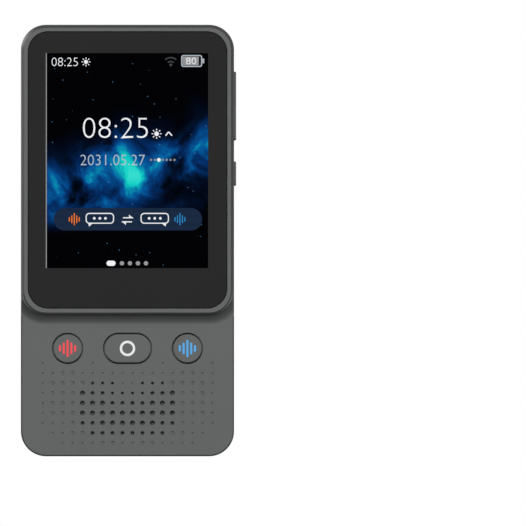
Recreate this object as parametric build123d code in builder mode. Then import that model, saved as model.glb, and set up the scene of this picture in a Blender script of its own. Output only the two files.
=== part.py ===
"""Handheld voice translator with a raised screen, three front keys and a camera on its back.

Millimetres. The device stands upright: +Z along its length, the screen faces -Y and +X is
to the right seen from the front. The origin is under the middle of the body.
"""

from build123d import *
import os
from math import cos, radians, sin

os.makedirs("parts", exist_ok=True)

# ---------------------------------------------------------------- driving dimensions

# Body: a rounded slab, rolled off all round its back.
body_width = 57.1
body_height = 115.6
body_depth = 13.0  # key deck to back face
body_corner = 6.7
wall = 1.6
deck_wall = 1.5
deck_edge_bevel = 0.3
seam_depth = 2.0  # from the key deck to the joint between the two shells
seam_bevel = 0.15
roll_depth = 5.5
side_roll = 10.8
end_roll = 8.4
roll_corner_gain = 3.0
roll_steps = 7
inner_roll_steps = 3

# Tongue of the front shell inside the rear one.
tongue_height = 1.0  # past the joint
tongue_thickness = 0.8
tongue_gap = 0.1

# Screen platform, raised above the key deck, with a hollowed ramp down to it. Its sides
# draw in to a shoulder at the top of the ramp, and from there to the lip round the glass.
step_height = 2.2
step_z = 38.0
shoulder_inset = 0.35
lip_inset = 0.85
lip_foot_inset = 0.5  # at the lower edge
ramp_rise = 1.6
ramp_run = 3.0
ramp_steps = 3
platform_sink = 0.6  # of the platform and its ramp into the rim

# Cover glass and display.
glass_side_margin = 1.9
glass_top_margin = 1.85
glass_bottom_margin = 1.65
glass_corner = 5.4
glass_thickness = 0.8
glass_recess = 0.1
glass_gap = 0.1
glass_edge_bevel = 0.15
tape_thickness = 0.2
tape_width = 1.1
tape_corner = 2.0
ledge_thickness = 1.2
panel_side_margin = 1.85
panel_top_margin = 3.6
panel_bottom_margin = 4.0
panel_thickness = 2.0
panel_gap = 0.4
tray_thickness = 0.3
tray_flange = 0.2
tray_gap = 0.05
bay_margin = 2.0

# Front keys.
key_row_drop = 9.1  # from the platform's edge
talk_key_margin = 12.5
key_radius = 3.82
home_key_straight = 4.8
key_gap = 0.28
key_flange = 0.5
key_flange_lap = 0.4
key_flange_gap = 0.1
key_proud = 0.2
key_edge_bevel = 0.2
key_travel = 0.3
key_spare = 0.05  # left between a pressed key and its switch
front_switch_size = 5.2
front_switch_height = 0.65
front_switch_button = 1.3  # radius

# Speaker grille: rows of dots from the top down, left half, mirrored for the right half.
# L, M and S are open holes; p and t are wide and tiny blind dimples.
grille_rows = (
    "t....t...",
    "ttppttttt",
    "tppppSSSt",
    "tpppLMMSS",
    "tpppLLLMM",
    "tpppLLLLL",
    "tttpMMLLL",
    ".ttppMMMM",
    "..ttttppt",
)
grille_pitch = 2.675
grille_drop = 3.95  # from the key row to the first row of dots
hole_radius = {"L": 0.66, "M": 0.52, "S": 0.39}
hole_sides = 8
dimple_radius = {"p": 0.52, "t": 0.32}
dimple_sides = 5
dimple_depth = 0.25

# Speaker.
speaker_side_margin = 14.55
speaker_height = 18.0
speaker_depth = 3.8
speaker_drop = 16.0  # from the key row
speaker_gap = 0.15
speaker_rim = 1.2
cone_recess = 1.2
cone_thickness = 0.3
cone_gap = 0.1
dome_width = 15.0
dome_height = 7.0
dome_rise = 0.6
magnet_width = 14.0
magnet_height = 9.0
magnet_depth = 1.6
cloth_thickness = 0.15
gasket_thickness = 0.4
rib_thickness = 0.9
rib_height = 2.5

# Main board, its posts and its screws.
board_side_margin = 3.75
board_bottom_drop = 4.3  # from the key row
board_top_margin = 3.7
board_thickness = 1.0
post_side_margin = 2.4
post_bottom_margin = 8.0
post_top_margin = 5.9
post_size = 3.6
screw_radius = 0.8
screw_sides = 8
screw_pilot_gap = 0.05
screw_head_radius = 1.5
screw_head_height = 0.7
screw_length = 4.5
screw_hole_gap = 0.15

# USB-C port at the top end.
port_side_margin = 18.85
port_width = 8.94
port_height = 3.16
port_length = 7.3
port_wall = 0.25
port_back = 0.7
port_recess = 0.4  # mouth below the top end
port_hole_gap = 0.15
port_cut_width = 12.0
port_cut_depth = 1.6
port_cut_margin = 0.5
port_cut_corner = 1.2
port_pad_thickness = 1.5
port_pad_margin = 0.95
tongue_plate_width = 6.7
tongue_plate_thickness = 0.7
tongue_plate_length = 5.0

# Side keys.
side_key_width = 2.6
side_key_proud = 0.56
side_key_gap = 0.15
side_key_cut = 5.0  # deep enough to pass through the wall
side_key_edge_bevel = 0.25
side_flange = 0.7
side_flange_lap = 0.6
side_flange_gap = 0.3
volume_key_length = 18.5
volume_key_drop = 21.8  # from the top end
volume_nub_z = 6.0
power_key_length = 6.6
power_key_drop = 39.9
side_switch_depth = 2.7
side_switch_length = 3.4
side_switch_height = 2.4
plunger_size = 1.2
plunger_length = 0.4
plunger_overhang = 0.2
side_press_gap = 0.3
nub_size = 1.2
fulcrum_radius = 0.3
fulcrum_gap = 0.05
fulcrum_rib_thickness = 1.4
fulcrum_rib_width = 1.2
fulcrum_rib_reach = 6.1

# Battery.
battery_side_margin = 9.55
battery_thickness = 4.6
battery_board_margin = 2.9
battery_camera_margin = 11.7
battery_edge_round = 1.0
battery_tape_margin = 5.0
battery_tape_thickness = 0.4

# Camera.
camera_drop = 24.4  # from the top end
bump_height = 1.8
bump_foot_radius = 10.8
bump_top_radius = 8.3
bump_steps = 4
ring_radius = 8.0
ring_gap = 0.05
ring_rim = 1.15
ring_proud = 0.2
ring_depth = 1.2
ring_bevel = 0.25
window_gap = 0.05
window_recess = 0.3
camera_bore = 10.4
lens_radius = 3.7
lens_edge = 0.8
lens_crown = 0.8
lens_flat = 1.8  # radius of the middle of the crown
lens_recess = 0.2  # crown below the window's face
lens_gap = 0.08
barrel_radius = 4.6
barrel_length = 3.0
module_size = 9.4
camera_board_width = 14.0
camera_board_height = 16.0
camera_board_thickness = 0.8

# Microphone at the bottom end.
mic_side_margin = 9.55
mic_width = 3.8
mic_depth = 2.8
mic_height = 1.2
mic_hole_radius = 0.6
boot_width = 5.4
boot_depth = 4.2
boot_height = 3.6
boot_floor = 0.8

# Ribbon cables and connectors.
ribbon_thickness = 0.15
ribbon_bend = 0.8
connector_height = 1.1
connector_length = 2.8
display_ribbon_width = 16.0
display_ribbon_setback = 0.35
display_connector_rise = 1.75
battery_ribbon_width = 5.0
battery_ribbon_margin = 5.0
battery_connector_rise = 2.7
speaker_ribbon_width = 4.0
speaker_ribbon_lap = 5.0
mic_ribbon_width = 2.6
board_lap = 3.0

# Chips and antenna.
processor_size = 12.0
processor_height = 1.2
memory_width = 11.5
memory_length = 13.0
memory_height = 1.0
power_chip_size = 6.0
power_chip_height = 0.9
chip_row_rise = 18.35  # from the lower end of the display
shield_width = 14.0
shield_length = 9.0
shield_height = 1.6
shield_wall = 0.2
shield_side_margin = 5.8
shield_top_margin = 2.9
antenna_side_margin = 6.0
antenna_height = 12.0
antenna_thickness = 0.2
antenna_side_bar = 3.0
antenna_slot = 1.5

# ---------------------------------------------------------------- levels and places

half_width = body_width / 2

deck_y = -body_depth / 2
back_y = body_depth / 2
seam_y = deck_y + seam_depth
lip_y = deck_y - step_height
roll_y = back_y - roll_depth
inner_back_y = back_y - wall
deck_inner_y = deck_y + deck_wall

glass_width = body_width - 2 * glass_side_margin
glass_bottom_z = step_z + glass_bottom_margin
glass_height = body_height - glass_top_margin - glass_bottom_z
glass_centre_z = glass_bottom_z + glass_height / 2
glass_front_y = lip_y + glass_recess
glass_back_y = glass_front_y + glass_thickness
ledge_y = glass_back_y + tape_thickness
ledge_back_y = ledge_y + ledge_thickness
shoulder_y = deck_y - ramp_rise

panel_width = glass_width - 2 * panel_side_margin
panel_height = glass_height - panel_top_margin - panel_bottom_margin
panel_bottom_z = glass_bottom_z + panel_bottom_margin
panel_centre_z = panel_bottom_z + panel_height / 2
panel_back_y = glass_back_y + panel_thickness
bay_bottom_z = step_z + bay_margin

key_row_z = step_z - key_row_drop
talk_key_x = half_width - talk_key_margin
grille_top_z = key_row_z - grille_drop
speaker_width = body_width - 2 * speaker_side_margin
speaker_centre_z = key_row_z - speaker_drop
flange_front_y = deck_inner_y + key_flange_gap
flange_back_y = flange_front_y + key_flange

board_width = body_width - 2 * board_side_margin
board_bottom_z = key_row_z - board_bottom_drop
board_top_z = body_height - board_top_margin
board_front_y = flange_back_y + key_travel + key_spare + front_switch_height
board_back_y = board_front_y + board_thickness
post_x = board_width / 2 - post_side_margin
post_z = (board_bottom_z + post_bottom_margin, board_top_z - post_top_margin)
chip_row_z = panel_bottom_z + chip_row_rise
shield_x = -(board_width / 2 - shield_side_margin - shield_width / 2)
shield_z = board_top_z - shield_top_margin - shield_length / 2

inner_side_x = half_width - wall
volume_key_z = body_height - volume_key_drop
power_key_z = body_height - power_key_drop
side_key_y = board_back_y + side_switch_height / 2
side_flange_x = inner_side_x - side_flange_gap
side_flange_inner_x = side_flange_x - side_flange
plunger_tip_x = board_width / 2 + plunger_overhang
nub_tip_x = plunger_tip_x + side_press_gap
fulcrum_x = side_flange_inner_x - fulcrum_radius

port_x = half_width - port_side_margin
port_y = board_back_y + port_height / 2
port_mouth_z = body_height - port_recess
port_floor_z = body_height - port_cut_depth
port_pad_z = port_floor_z - port_pad_thickness

camera_z = body_height - camera_drop
battery_width = body_width - 2 * battery_side_margin
battery_bottom_z = board_bottom_z + battery_board_margin
battery_top_z = camera_z - battery_camera_margin
battery_height = battery_top_z - battery_bottom_z
battery_ribbon_x = battery_ribbon_margin - battery_width / 2
antenna_width = battery_width - 2 * antenna_side_margin
battery_back_y = inner_back_y - battery_tape_thickness
battery_front_y = battery_back_y - battery_thickness

bump_y = back_y + bump_height
ring_front_y = bump_y + ring_proud
ring_base_y = ring_front_y - ring_depth
window_front_y = ring_front_y - window_recess
window_radius = ring_radius - ring_rim - window_gap
lens_crown_y = window_front_y - lens_recess
barrel_front_y = lens_crown_y - lens_crown - lens_edge
barrel_base_y = barrel_front_y - barrel_length
camera_board_y = board_back_y + camera_board_thickness

cloth_y = deck_inner_y + cloth_thickness
gasket_y = cloth_y + gasket_thickness
speaker_back_y = gasket_y + speaker_depth

mic_x = half_width - mic_side_margin
mic_y = side_key_y


def level(y):
    """The plane at depth y that faces the front, with x to the right and z up."""
    return Plane.XZ.offset(-y)


def save(name, piece):
    """Label one finished piece and write its STEP file."""
    piece.part.label = name
    export_step(piece.part, f"parts/{name}.step")


def block(y, toward, x, z, width, height, corner=0.0):
    """A flat piece that starts at depth y, `toward` mm to the front, or to the back if negative."""
    with BuildPart() as piece:
        with BuildSketch(level(y)):
            with Locations((x, z)):
                if corner:
                    RectangleRounded(width, height, corner)
                else:
                    Rectangle(width, height)
        extrude(amount=toward)
    return piece


def ribbon(points, x, width):
    """A flat ribbon cable through (y, z) points, centred on x."""
    with BuildPart() as piece:
        with BuildSketch(Plane.YZ.offset(x - width / 2)):
            with BuildLine():
                FilletPolyline(points, radius=ribbon_bend)
            trace(line_width=ribbon_thickness)
        extrude(amount=width)
    return piece


# ---------------------------------------------------------------- outer shells


def body_outline(inset):
    """The rounded outline of the body, smaller by `inset` all round."""
    with Locations((0, body_height / 2)):
        RectangleRounded(body_width - 2 * inset, body_height - 2 * inset, body_corner - inset)


def platform_outline(inset, foot_inset=0.0):
    """The outline of the raised platform, smaller by `inset`, and at its foot by its own inset."""
    height = body_height - inset - step_z - foot_inset
    with Locations((0, step_z + foot_inset + height / 2)):
        RectangleRounded(body_width - 2 * inset, height, body_corner - inset)


def roll_sections(inset, steps):
    """Depth, width, height and corner of outlines on a quarter ellipse from side to back."""
    for step in range(steps + 1):
        angle = radians(90 * step / steps)
        inward = 1 - cos(angle)
        yield (
            roll_y + (roll_depth - inset) * sin(angle),
            body_width - 2 * (inset + side_roll * inward),
            body_height - 2 * (inset + end_roll * inward),
            body_corner - inset + roll_corner_gain * inward,
        )


# Ramp: a hollowed slope swept round the lower edge of the platform, trimmed to the body's
# sides below the deck and to the platform's drawn-in sides above it.
ramp_centre_z = step_z + body_corner
ramp_corner_x = half_width - body_corner
ramp_slope = []
for ramp_step in range(ramp_steps + 1):
    ramp_angle = radians(90 * ramp_step / ramp_steps)
    ramp_slope.append(
        (deck_y - ramp_rise * (1 - cos(ramp_angle)), step_z - ramp_run * (1 - sin(ramp_angle)))
    )

with BuildPart() as ramp:
    with BuildSketch(Plane.YZ.offset(-ramp_corner_x)) as ramp_section:
        with BuildLine():
            Polyline(
                (shoulder_y, step_z + lip_foot_inset),
                (deck_y + platform_sink, step_z + lip_foot_inset),
                (deck_y + platform_sink, step_z - ramp_run),
                *ramp_slope,
                close=True,
            )
        make_face()
    extrude(amount=2 * ramp_corner_x)
    for corner_x, turn in ((-ramp_corner_x, 90), (ramp_corner_x, -90)):
        with BuildSketch(Plane.YZ.offset(corner_x)):
            add(ramp_section.sketch_local)
        revolve(
            axis=Axis((corner_x, 0, ramp_centre_z), (0, 1, 0)),
            revolution_arc=turn,
        )
    with BuildPart(mode=Mode.INTERSECT):
        with BuildSketch(level(deck_y + platform_sink)):
            body_outline(0)
        extrude(amount=platform_sink)
        with BuildSketch(level(deck_y)):
            body_outline(0)
        with BuildSketch(level(shoulder_y)):
            body_outline(shoulder_inset)
        loft(ruled=True)

with BuildPart() as front_shell:
    # Rim of the body from the seam to the key deck.
    with BuildSketch(level(seam_y)):
        body_outline(0)
    extrude(amount=seam_depth)
    chamfer(front_shell.edges().group_by(Axis.Y)[0], deck_edge_bevel)
    chamfer(front_shell.edges().group_by(Axis.Y)[-1], seam_bevel)

    # Raised platform under the screen.
    with BuildSketch(level(deck_y + platform_sink)):
        platform_outline(0)
    extrude(amount=platform_sink)
    with BuildSketch(level(deck_y)):
        platform_outline(0)
    with BuildSketch(level(shoulder_y)):
        platform_outline(shoulder_inset)
    loft(ruled=True)
    with BuildSketch(level(shoulder_y)):
        platform_outline(shoulder_inset)
    with BuildSketch(level(lip_y)):
        platform_outline(lip_inset, lip_foot_inset)
    loft(ruled=True)
    add(ramp.part)

    # Hollow behind the deck, and the deeper bay behind the screen.
    with BuildSketch(level(seam_y)):
        body_outline(wall)
    extrude(amount=seam_y - deck_inner_y, mode=Mode.SUBTRACT)
    with BuildSketch(level(deck_inner_y)):
        with Locations((0, (bay_bottom_z + body_height - wall) / 2)):
            RectangleRounded(
                body_width - 2 * wall,
                body_height - wall - bay_bottom_z,
                body_corner - wall,
            )
    extrude(amount=deck_inner_y - ledge_back_y, mode=Mode.SUBTRACT)

    # Opening for the display and the pocket of the cover glass.
    with BuildSketch(level(ledge_back_y)):
        with Locations((0, panel_centre_z)):
            Rectangle(panel_width + 2 * panel_gap, panel_height + 2 * panel_gap)
    extrude(amount=ledge_thickness, mode=Mode.SUBTRACT)
    with BuildSketch(level(ledge_y)):
        with Locations((0, glass_centre_z)):
            RectangleRounded(
                glass_width + 2 * glass_gap,
                glass_height + 2 * glass_gap,
                glass_corner + glass_gap,
            )
    extrude(amount=ledge_y - lip_y, mode=Mode.SUBTRACT)

    # Key holes through the deck.
    with BuildSketch(level(deck_inner_y)):
        with Locations((-talk_key_x, key_row_z), (talk_key_x, key_row_z)):
            Circle(key_radius + key_gap)
        with Locations((0, key_row_z)):
            SlotCenterToCenter(home_key_straight, 2 * (key_radius + key_gap))
    extrude(amount=deck_wall, mode=Mode.SUBTRACT)

    # Speaker rib behind the deck.
    with BuildSketch(level(deck_inner_y)):
        with Locations((0, speaker_centre_z)):
            Rectangle(
                speaker_width + 2 * (speaker_gap + rib_thickness),
                speaker_height + 2 * (speaker_gap + rib_thickness),
            )
            Rectangle(
                speaker_width + 2 * speaker_gap,
                speaker_height + 2 * speaker_gap,
                mode=Mode.SUBTRACT,
            )
    extrude(amount=-rib_height)

    # Ribs along the four walls, thinned past the joint to tongues inside the rear shell.
    rib_reach = wall + tongue_gap + tongue_thickness
    for thickness, end_y in (
        (tongue_gap + tongue_thickness, seam_y),
        (tongue_thickness, seam_y + tongue_height),
    ):
        side_x = half_width - rib_reach + thickness / 2
        end_z = body_height / 2 - rib_reach + thickness / 2
        with BuildSketch(level(deck_inner_y)):
            with Locations((-side_x, body_height / 2), (side_x, body_height / 2)):
                Rectangle(thickness, body_height - 2 * body_corner)
            with Locations((0, body_height / 2 - end_z), (0, body_height / 2 + end_z)):
                Rectangle(body_width - 2 * body_corner, thickness)
        extrude(amount=-(end_y - deck_inner_y))

    # Speaker grille: open holes in the middle, blind dimples round them.
    places = {letter: [] for letter in "LMSpt"}
    for row, letters in enumerate(grille_rows):
        for column, letter in enumerate(letters):
            if letter != ".":
                x = (column + 0.5 - len(letters)) * grille_pitch
                z = grille_top_z - row * grille_pitch
                places[letter] += [(x, z), (-x, z)]
    with BuildSketch(level(deck_inner_y)):
        for letter, radius in hole_radius.items():
            with Locations(*places[letter]):
                RegularPolygon(radius, hole_sides)
    extrude(amount=deck_wall, mode=Mode.SUBTRACT)
    with BuildSketch(level(deck_y)):
        for letter, radius in dimple_radius.items():
            with Locations(*places[letter]):
                RegularPolygon(radius, dimple_sides)
    extrude(amount=-dimple_depth, mode=Mode.SUBTRACT)

with BuildPart() as rear_shell:
    # Outside: a short straight band, then the roll to the flat of the back.
    with BuildSketch(level(seam_y)):
        body_outline(0)
    extrude(amount=seam_y - roll_y)
    chamfer(rear_shell.edges().group_by(Axis.Y)[0], seam_bevel)
    for y, width, height, corner in roll_sections(0, roll_steps):
        with BuildSketch(level(y)):
            with Locations((0, body_height / 2)):
                RectangleRounded(width, height, corner)
    loft(ruled=True)

    # Round bump of the camera, with a soft foot and a soft shoulder.
    bump_profile = [
        (
            back_y + bump_height * (1 - cos(radians(180 * step / bump_steps))) / 2,
            camera_z + bump_foot_radius - (bump_foot_radius - bump_top_radius) * step / bump_steps,
        )
        for step in range(bump_steps + 1)
    ]
    with BuildSketch(Plane.YZ):
        with BuildLine():
            Polyline(
                (bump_y, camera_z),
                (inner_back_y, camera_z),
                (inner_back_y, camera_z + bump_foot_radius),
                *bump_profile,
                close=True,
            )
        make_face()
    revolve(axis=Axis((0, 0, camera_z), (0, 1, 0)))

    # Inside.
    with BuildSketch(level(seam_y)):
        body_outline(wall)
    extrude(amount=seam_y - roll_y, mode=Mode.SUBTRACT)
    for y, width, height, corner in roll_sections(wall, inner_roll_steps):
        with BuildSketch(level(y)) as section:
            with Locations((0, body_height / 2)):
                Rectangle(width, height)
            chamfer(section.vertices(), corner)
    loft(ruled=True, mode=Mode.SUBTRACT)

    # Pad of thicker wall round the port, its cut in the rolled edge and the port's hole.
    with BuildSketch(Plane.XY.offset(port_pad_z)):
        with Locations((port_x, port_y)):
            Rectangle(
                port_width + 2 * port_pad_margin,
                port_height + 2 * port_pad_margin,
            )
    extrude(amount=body_height - wall - port_pad_z)
    with BuildSketch(Plane.XY.offset(port_floor_z)):
        with Locations((port_x, board_back_y - port_cut_margin)):
            RectangleRounded(
                port_cut_width,
                body_depth,
                port_cut_corner,
                align=(Align.CENTER, Align.MIN),
            )
    extrude(amount=2 * port_cut_depth, mode=Mode.SUBTRACT)
    with BuildSketch(Plane.XY.offset(port_pad_z)):
        with Locations((port_x, port_y)):
            SlotOverall(port_width + 2 * port_hole_gap, port_height + 2 * port_hole_gap)
    extrude(amount=port_pad_thickness, mode=Mode.SUBTRACT)

    # Seat of the camera ring and the bore for the lens barrel.
    with BuildSketch(level(bump_y)):
        with Locations((0, camera_z)):
            Circle(ring_radius + ring_gap)
    extrude(amount=bump_y - ring_base_y, mode=Mode.SUBTRACT)
    with BuildSketch(level(ring_base_y)):
        with Locations((0, camera_z)):
            Rectangle(camera_bore, camera_bore)
    extrude(amount=ring_base_y - inner_back_y + wall, mode=Mode.SUBTRACT)

    # Posts that carry the main board, with pilot holes for its screws.
    corners = [(side * post_x, z) for side in (-1, 1) for z in post_z]
    with BuildSketch(level(board_back_y)):
        with Locations(*corners):
            Rectangle(post_size, post_size)
    extrude(amount=-(inner_back_y - board_back_y))
    with BuildSketch(level(board_back_y)):
        with Locations(*corners):
            RegularPolygon(screw_radius + screw_pilot_gap, screw_sides)
    extrude(amount=-screw_length, mode=Mode.SUBTRACT)

    # Openings for the side keys, and the rib that the volume key rocks on.
    with BuildSketch(Plane.YZ.offset(inner_side_x - wall)):
        for key_z, length in (
            (volume_key_z, volume_key_length),
            (power_key_z, power_key_length),
        ):
            with Locations((side_key_y, key_z)):
                SlotOverall(
                    length + 2 * side_key_gap,
                    side_key_width + 2 * side_key_gap,
                    rotation=90,
                )
    extrude(amount=side_key_cut, mode=Mode.SUBTRACT)
    with BuildSketch(Plane.XY.offset(volume_key_z - fulcrum_rib_width / 2)):
        with Locations((fulcrum_x - fulcrum_gap, side_key_y - fulcrum_rib_width / 2)):
            Rectangle(
                fulcrum_rib_thickness,
                fulcrum_rib_reach,
                align=(Align.MAX, Align.MIN),
            )
    extrude(amount=fulcrum_rib_width)

    # Microphone hole in the bottom end.
    with BuildSketch(Plane.XY):
        with Locations((mic_x, mic_y)):
            Circle(mic_hole_radius)
    extrude(amount=wall, mode=Mode.SUBTRACT)

save("front_shell", front_shell)
save("rear_shell", rear_shell)

# ---------------------------------------------------------------- screen

with BuildPart() as cover_glass:
    with BuildSketch(level(glass_back_y)):
        with Locations((0, glass_centre_z)):
            RectangleRounded(glass_width, glass_height, glass_corner)
    extrude(amount=glass_thickness)
    chamfer(cover_glass.edges().group_by(Axis.Y)[0], glass_edge_bevel)
save("cover_glass", cover_glass)

with BuildPart() as glass_tape:
    with BuildSketch(level(ledge_y)):
        with Locations((0, glass_centre_z)):
            RectangleRounded(
                glass_width - 2 * glass_gap,
                glass_height - 2 * glass_gap,
                glass_corner - glass_gap,
            )
    extrude(amount=tape_thickness)
    with BuildSketch(level(ledge_y)) as opening:
        with Locations((0, glass_centre_z)):
            Rectangle(
                glass_width - 2 * (glass_gap + tape_width),
                glass_height - 2 * (glass_gap + tape_width),
            )
        chamfer(opening.vertices(), tape_corner)
    extrude(amount=tape_thickness, mode=Mode.SUBTRACT)
save("glass_tape", glass_tape)

display_panel = block(
    panel_back_y, panel_thickness, 0, panel_centre_z, panel_width, panel_height, panel_gap
)
save("display_panel", display_panel)

# Metal tray that backs the display, turned up along its two long sides.
tray_width = panel_width + 2 * (tray_gap + tray_flange)
with BuildPart() as display_tray:
    with BuildSketch(level(panel_back_y + tray_thickness)):
        with Locations((0, panel_centre_z)):
            Rectangle(tray_width, panel_height)
    extrude(amount=tray_thickness)
    with BuildSketch(level(panel_back_y)):
        with Locations((-tray_width / 2, panel_centre_z)):
            Rectangle(tray_flange, panel_height, align=(Align.MIN, Align.CENTER))
        with Locations((tray_width / 2, panel_centre_z)):
            Rectangle(tray_flange, panel_height, align=(Align.MAX, Align.CENTER))
    extrude(amount=panel_thickness - tape_thickness)
save("display_tray", display_tray)

# ---------------------------------------------------------------- front keys


def front_key(x, straight):
    """A key cap with the square flange that holds it behind the deck."""
    flange_size = 2 * (key_radius + key_gap + key_flange_lap)
    with BuildPart() as key:
        with BuildSketch(level(flange_back_y)):
            with Locations((x, key_row_z)):
                Rectangle(flange_size + straight, flange_size)
        extrude(amount=key_flange)
        with BuildSketch(level(flange_front_y)):
            with Locations((x, key_row_z)):
                if straight:
                    SlotCenterToCenter(straight, 2 * key_radius)
                else:
                    Circle(key_radius)
        extrude(amount=flange_front_y - deck_y + key_proud)
        chamfer(key.edges().group_by(Axis.Y)[0], key_edge_bevel)
    return key


front_keys = {
    "talk_key_left": (-talk_key_x, 0),
    "home_key": (0, home_key_straight),
    "talk_key_right": (talk_key_x, 0),
}
for name, (x, straight) in front_keys.items():
    save(name, front_key(x, straight))

front_switches = {
    "talk_switch_left": -talk_key_x,
    "home_switch": 0,
    "talk_switch_right": talk_key_x,
}
for name, x in front_switches.items():
    with BuildPart() as switch:
        with BuildSketch(level(board_front_y)):
            with Locations((x, key_row_z)):
                Rectangle(front_switch_size, front_switch_size)
        extrude(amount=front_switch_height / 2)
        with BuildSketch(level(board_front_y - front_switch_height / 2)):
            with Locations((x, key_row_z)):
                Circle(front_switch_button)
        extrude(amount=front_switch_height / 2)
    save(name, switch)

# ---------------------------------------------------------------- side keys


def side_key(z, length, nubs, fulcrum=False):
    """A side key: cap, inner flange, square nubs that press the switches, maybe a fulcrum."""
    with BuildPart() as key:
        with BuildSketch(Plane.YZ.offset(side_flange_inner_x)):
            with Locations((side_key_y, z)):
                Rectangle(
                    side_key_width + 2 * side_flange_lap,
                    length + 2 * side_flange_lap,
                )
        extrude(amount=side_flange)
        with BuildSketch(Plane.YZ.offset(side_flange_x)):
            with Locations((side_key_y, z)):
                SlotOverall(length, side_key_width, rotation=90)
        extrude(amount=side_flange_gap + wall + side_key_proud)
        chamfer(key.edges().group_by(Axis.X)[-1], side_key_edge_bevel)
        with BuildSketch(Plane.YZ.offset(nub_tip_x)):
            with Locations(*[(side_key_y, z + place) for place in nubs]):
                Rectangle(nub_size, nub_size)
        extrude(amount=side_flange_inner_x - nub_tip_x)
        if fulcrum:
            with BuildSketch(level(side_key_y + fulcrum_rib_width / 2)):
                with Locations((side_flange_inner_x, z)):
                    Circle(fulcrum_radius)
            extrude(amount=fulcrum_rib_width)
    return key


power_key = side_key(power_key_z, power_key_length, (0,))
save("power_key", power_key)

volume_nubs = (-volume_nub_z, volume_nub_z)
volume_key = side_key(volume_key_z, volume_key_length, volume_nubs, fulcrum=True)
save("volume_key", volume_key)

side_switches = {
    "power_switch": power_key_z,
    "volume_down_switch": volume_key_z - volume_nub_z,
    "volume_up_switch": volume_key_z + volume_nub_z,
}
for name, z in side_switches.items():
    with BuildPart() as switch:
        with BuildSketch(Plane.YZ.offset(plunger_tip_x - plunger_length)):
            with Locations((side_key_y, z)):
                Rectangle(side_switch_height, side_switch_length)
        extrude(amount=-side_switch_depth)
        with BuildSketch(Plane.YZ.offset(plunger_tip_x - plunger_length)):
            with Locations((side_key_y, z)):
                Rectangle(plunger_size, plunger_size)
        extrude(amount=plunger_length)
    save(name, switch)

# ---------------------------------------------------------------- main board

with BuildPart() as main_board:
    with BuildSketch(level(board_back_y)):
        with Locations((0, (board_bottom_z + board_top_z) / 2)):
            Rectangle(board_width, board_top_z - board_bottom_z)
        with Locations(*corners):
            RegularPolygon(screw_radius + screw_hole_gap, screw_sides, mode=Mode.SUBTRACT)
    extrude(amount=board_thickness)
save("main_board", main_board)

# Four small pan-head screws, one solid each.
with BuildPart() as board_screws:
    with BuildSketch(level(board_front_y)):
        with Locations(*corners):
            RegularPolygon(screw_head_radius, screw_sides)
    extrude(amount=screw_head_height)
    with BuildSketch(level(board_front_y)):
        with Locations(*corners):
            RegularPolygon(screw_radius, screw_sides)
    extrude(amount=-(screw_length + board_thickness - screw_pilot_gap))
save("board_screws", board_screws)

processor = block(
    board_front_y, processor_height, -processor_size, chip_row_z, processor_size, processor_size
)
save("processor", processor)

memory_chip = block(
    board_front_y, memory_height, processor_size / 2, chip_row_z, memory_width, memory_length
)
save("memory_chip", memory_chip)

power_chip = block(
    board_front_y,
    power_chip_height,
    processor_size / 2,
    chip_row_z + memory_length,
    power_chip_size,
    power_chip_size,
)
save("power_chip", power_chip)

# Radio parts under a folded metal can, open towards the board.
with BuildPart() as radio_shield:
    with BuildSketch(level(board_back_y)):
        with Locations((shield_x, shield_z)):
            Rectangle(shield_width, shield_length)
    extrude(amount=-shield_height)
    offset(
        amount=-shield_wall,
        openings=radio_shield.faces().sort_by(Axis.Y)[0],
        kind=Kind.INTERSECTION,
    )
save("radio_shield", radio_shield)

# ---------------------------------------------------------------- USB-C port

with BuildPart() as usb_shell:
    with BuildSketch(Plane.XY.offset(port_mouth_z - port_length)):
        with Locations((port_x, port_y)):
            SlotOverall(port_width, port_height)
    extrude(amount=port_length)
    with BuildSketch(Plane.XY.offset(port_mouth_z - port_length + port_back)):
        with Locations((port_x, port_y)):
            SlotOverall(port_width - 2 * port_wall, port_height - 2 * port_wall)
    extrude(amount=port_length - port_back, mode=Mode.SUBTRACT)
save("usb_shell", usb_shell)

with BuildPart() as usb_tongue:
    with BuildSketch(Plane.XY.offset(port_mouth_z - port_length + port_back)):
        with Locations((port_x, port_y)):
            Rectangle(tongue_plate_width, tongue_plate_thickness)
    extrude(amount=tongue_plate_length)
save("usb_tongue", usb_tongue)

# ---------------------------------------------------------------- battery

with BuildPart() as battery:
    with BuildSketch(level(battery_back_y)):
        with Locations((0, battery_bottom_z + battery_height / 2)):
            Rectangle(battery_width, battery_height)
    extrude(amount=battery_thickness)
    fillet(battery.edges().filter_by(Axis.Z), battery_edge_round)
save("battery", battery)

battery_tape = block(
    inner_back_y,
    battery_tape_thickness,
    0,
    battery_bottom_z + battery_height / 2,
    battery_width - 2 * battery_tape_margin,
    battery_height - 2 * battery_tape_margin,
)
save("battery_tape", battery_tape)

# ---------------------------------------------------------------- speaker

speaker_cloth = block(
    cloth_y,
    cloth_thickness,
    0,
    speaker_centre_z,
    speaker_width - 2 * speaker_gap,
    speaker_height - 2 * speaker_gap,
)
save("speaker_cloth", speaker_cloth)

with BuildPart() as speaker_gasket:
    with BuildSketch(level(gasket_y)):
        with Locations((0, speaker_centre_z)):
            Rectangle(speaker_width, speaker_height)
            Rectangle(
                speaker_width - 2 * speaker_rim,
                speaker_height - 2 * speaker_rim,
                mode=Mode.SUBTRACT,
            )
    extrude(amount=gasket_thickness)
save("speaker_gasket", speaker_gasket)

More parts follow.
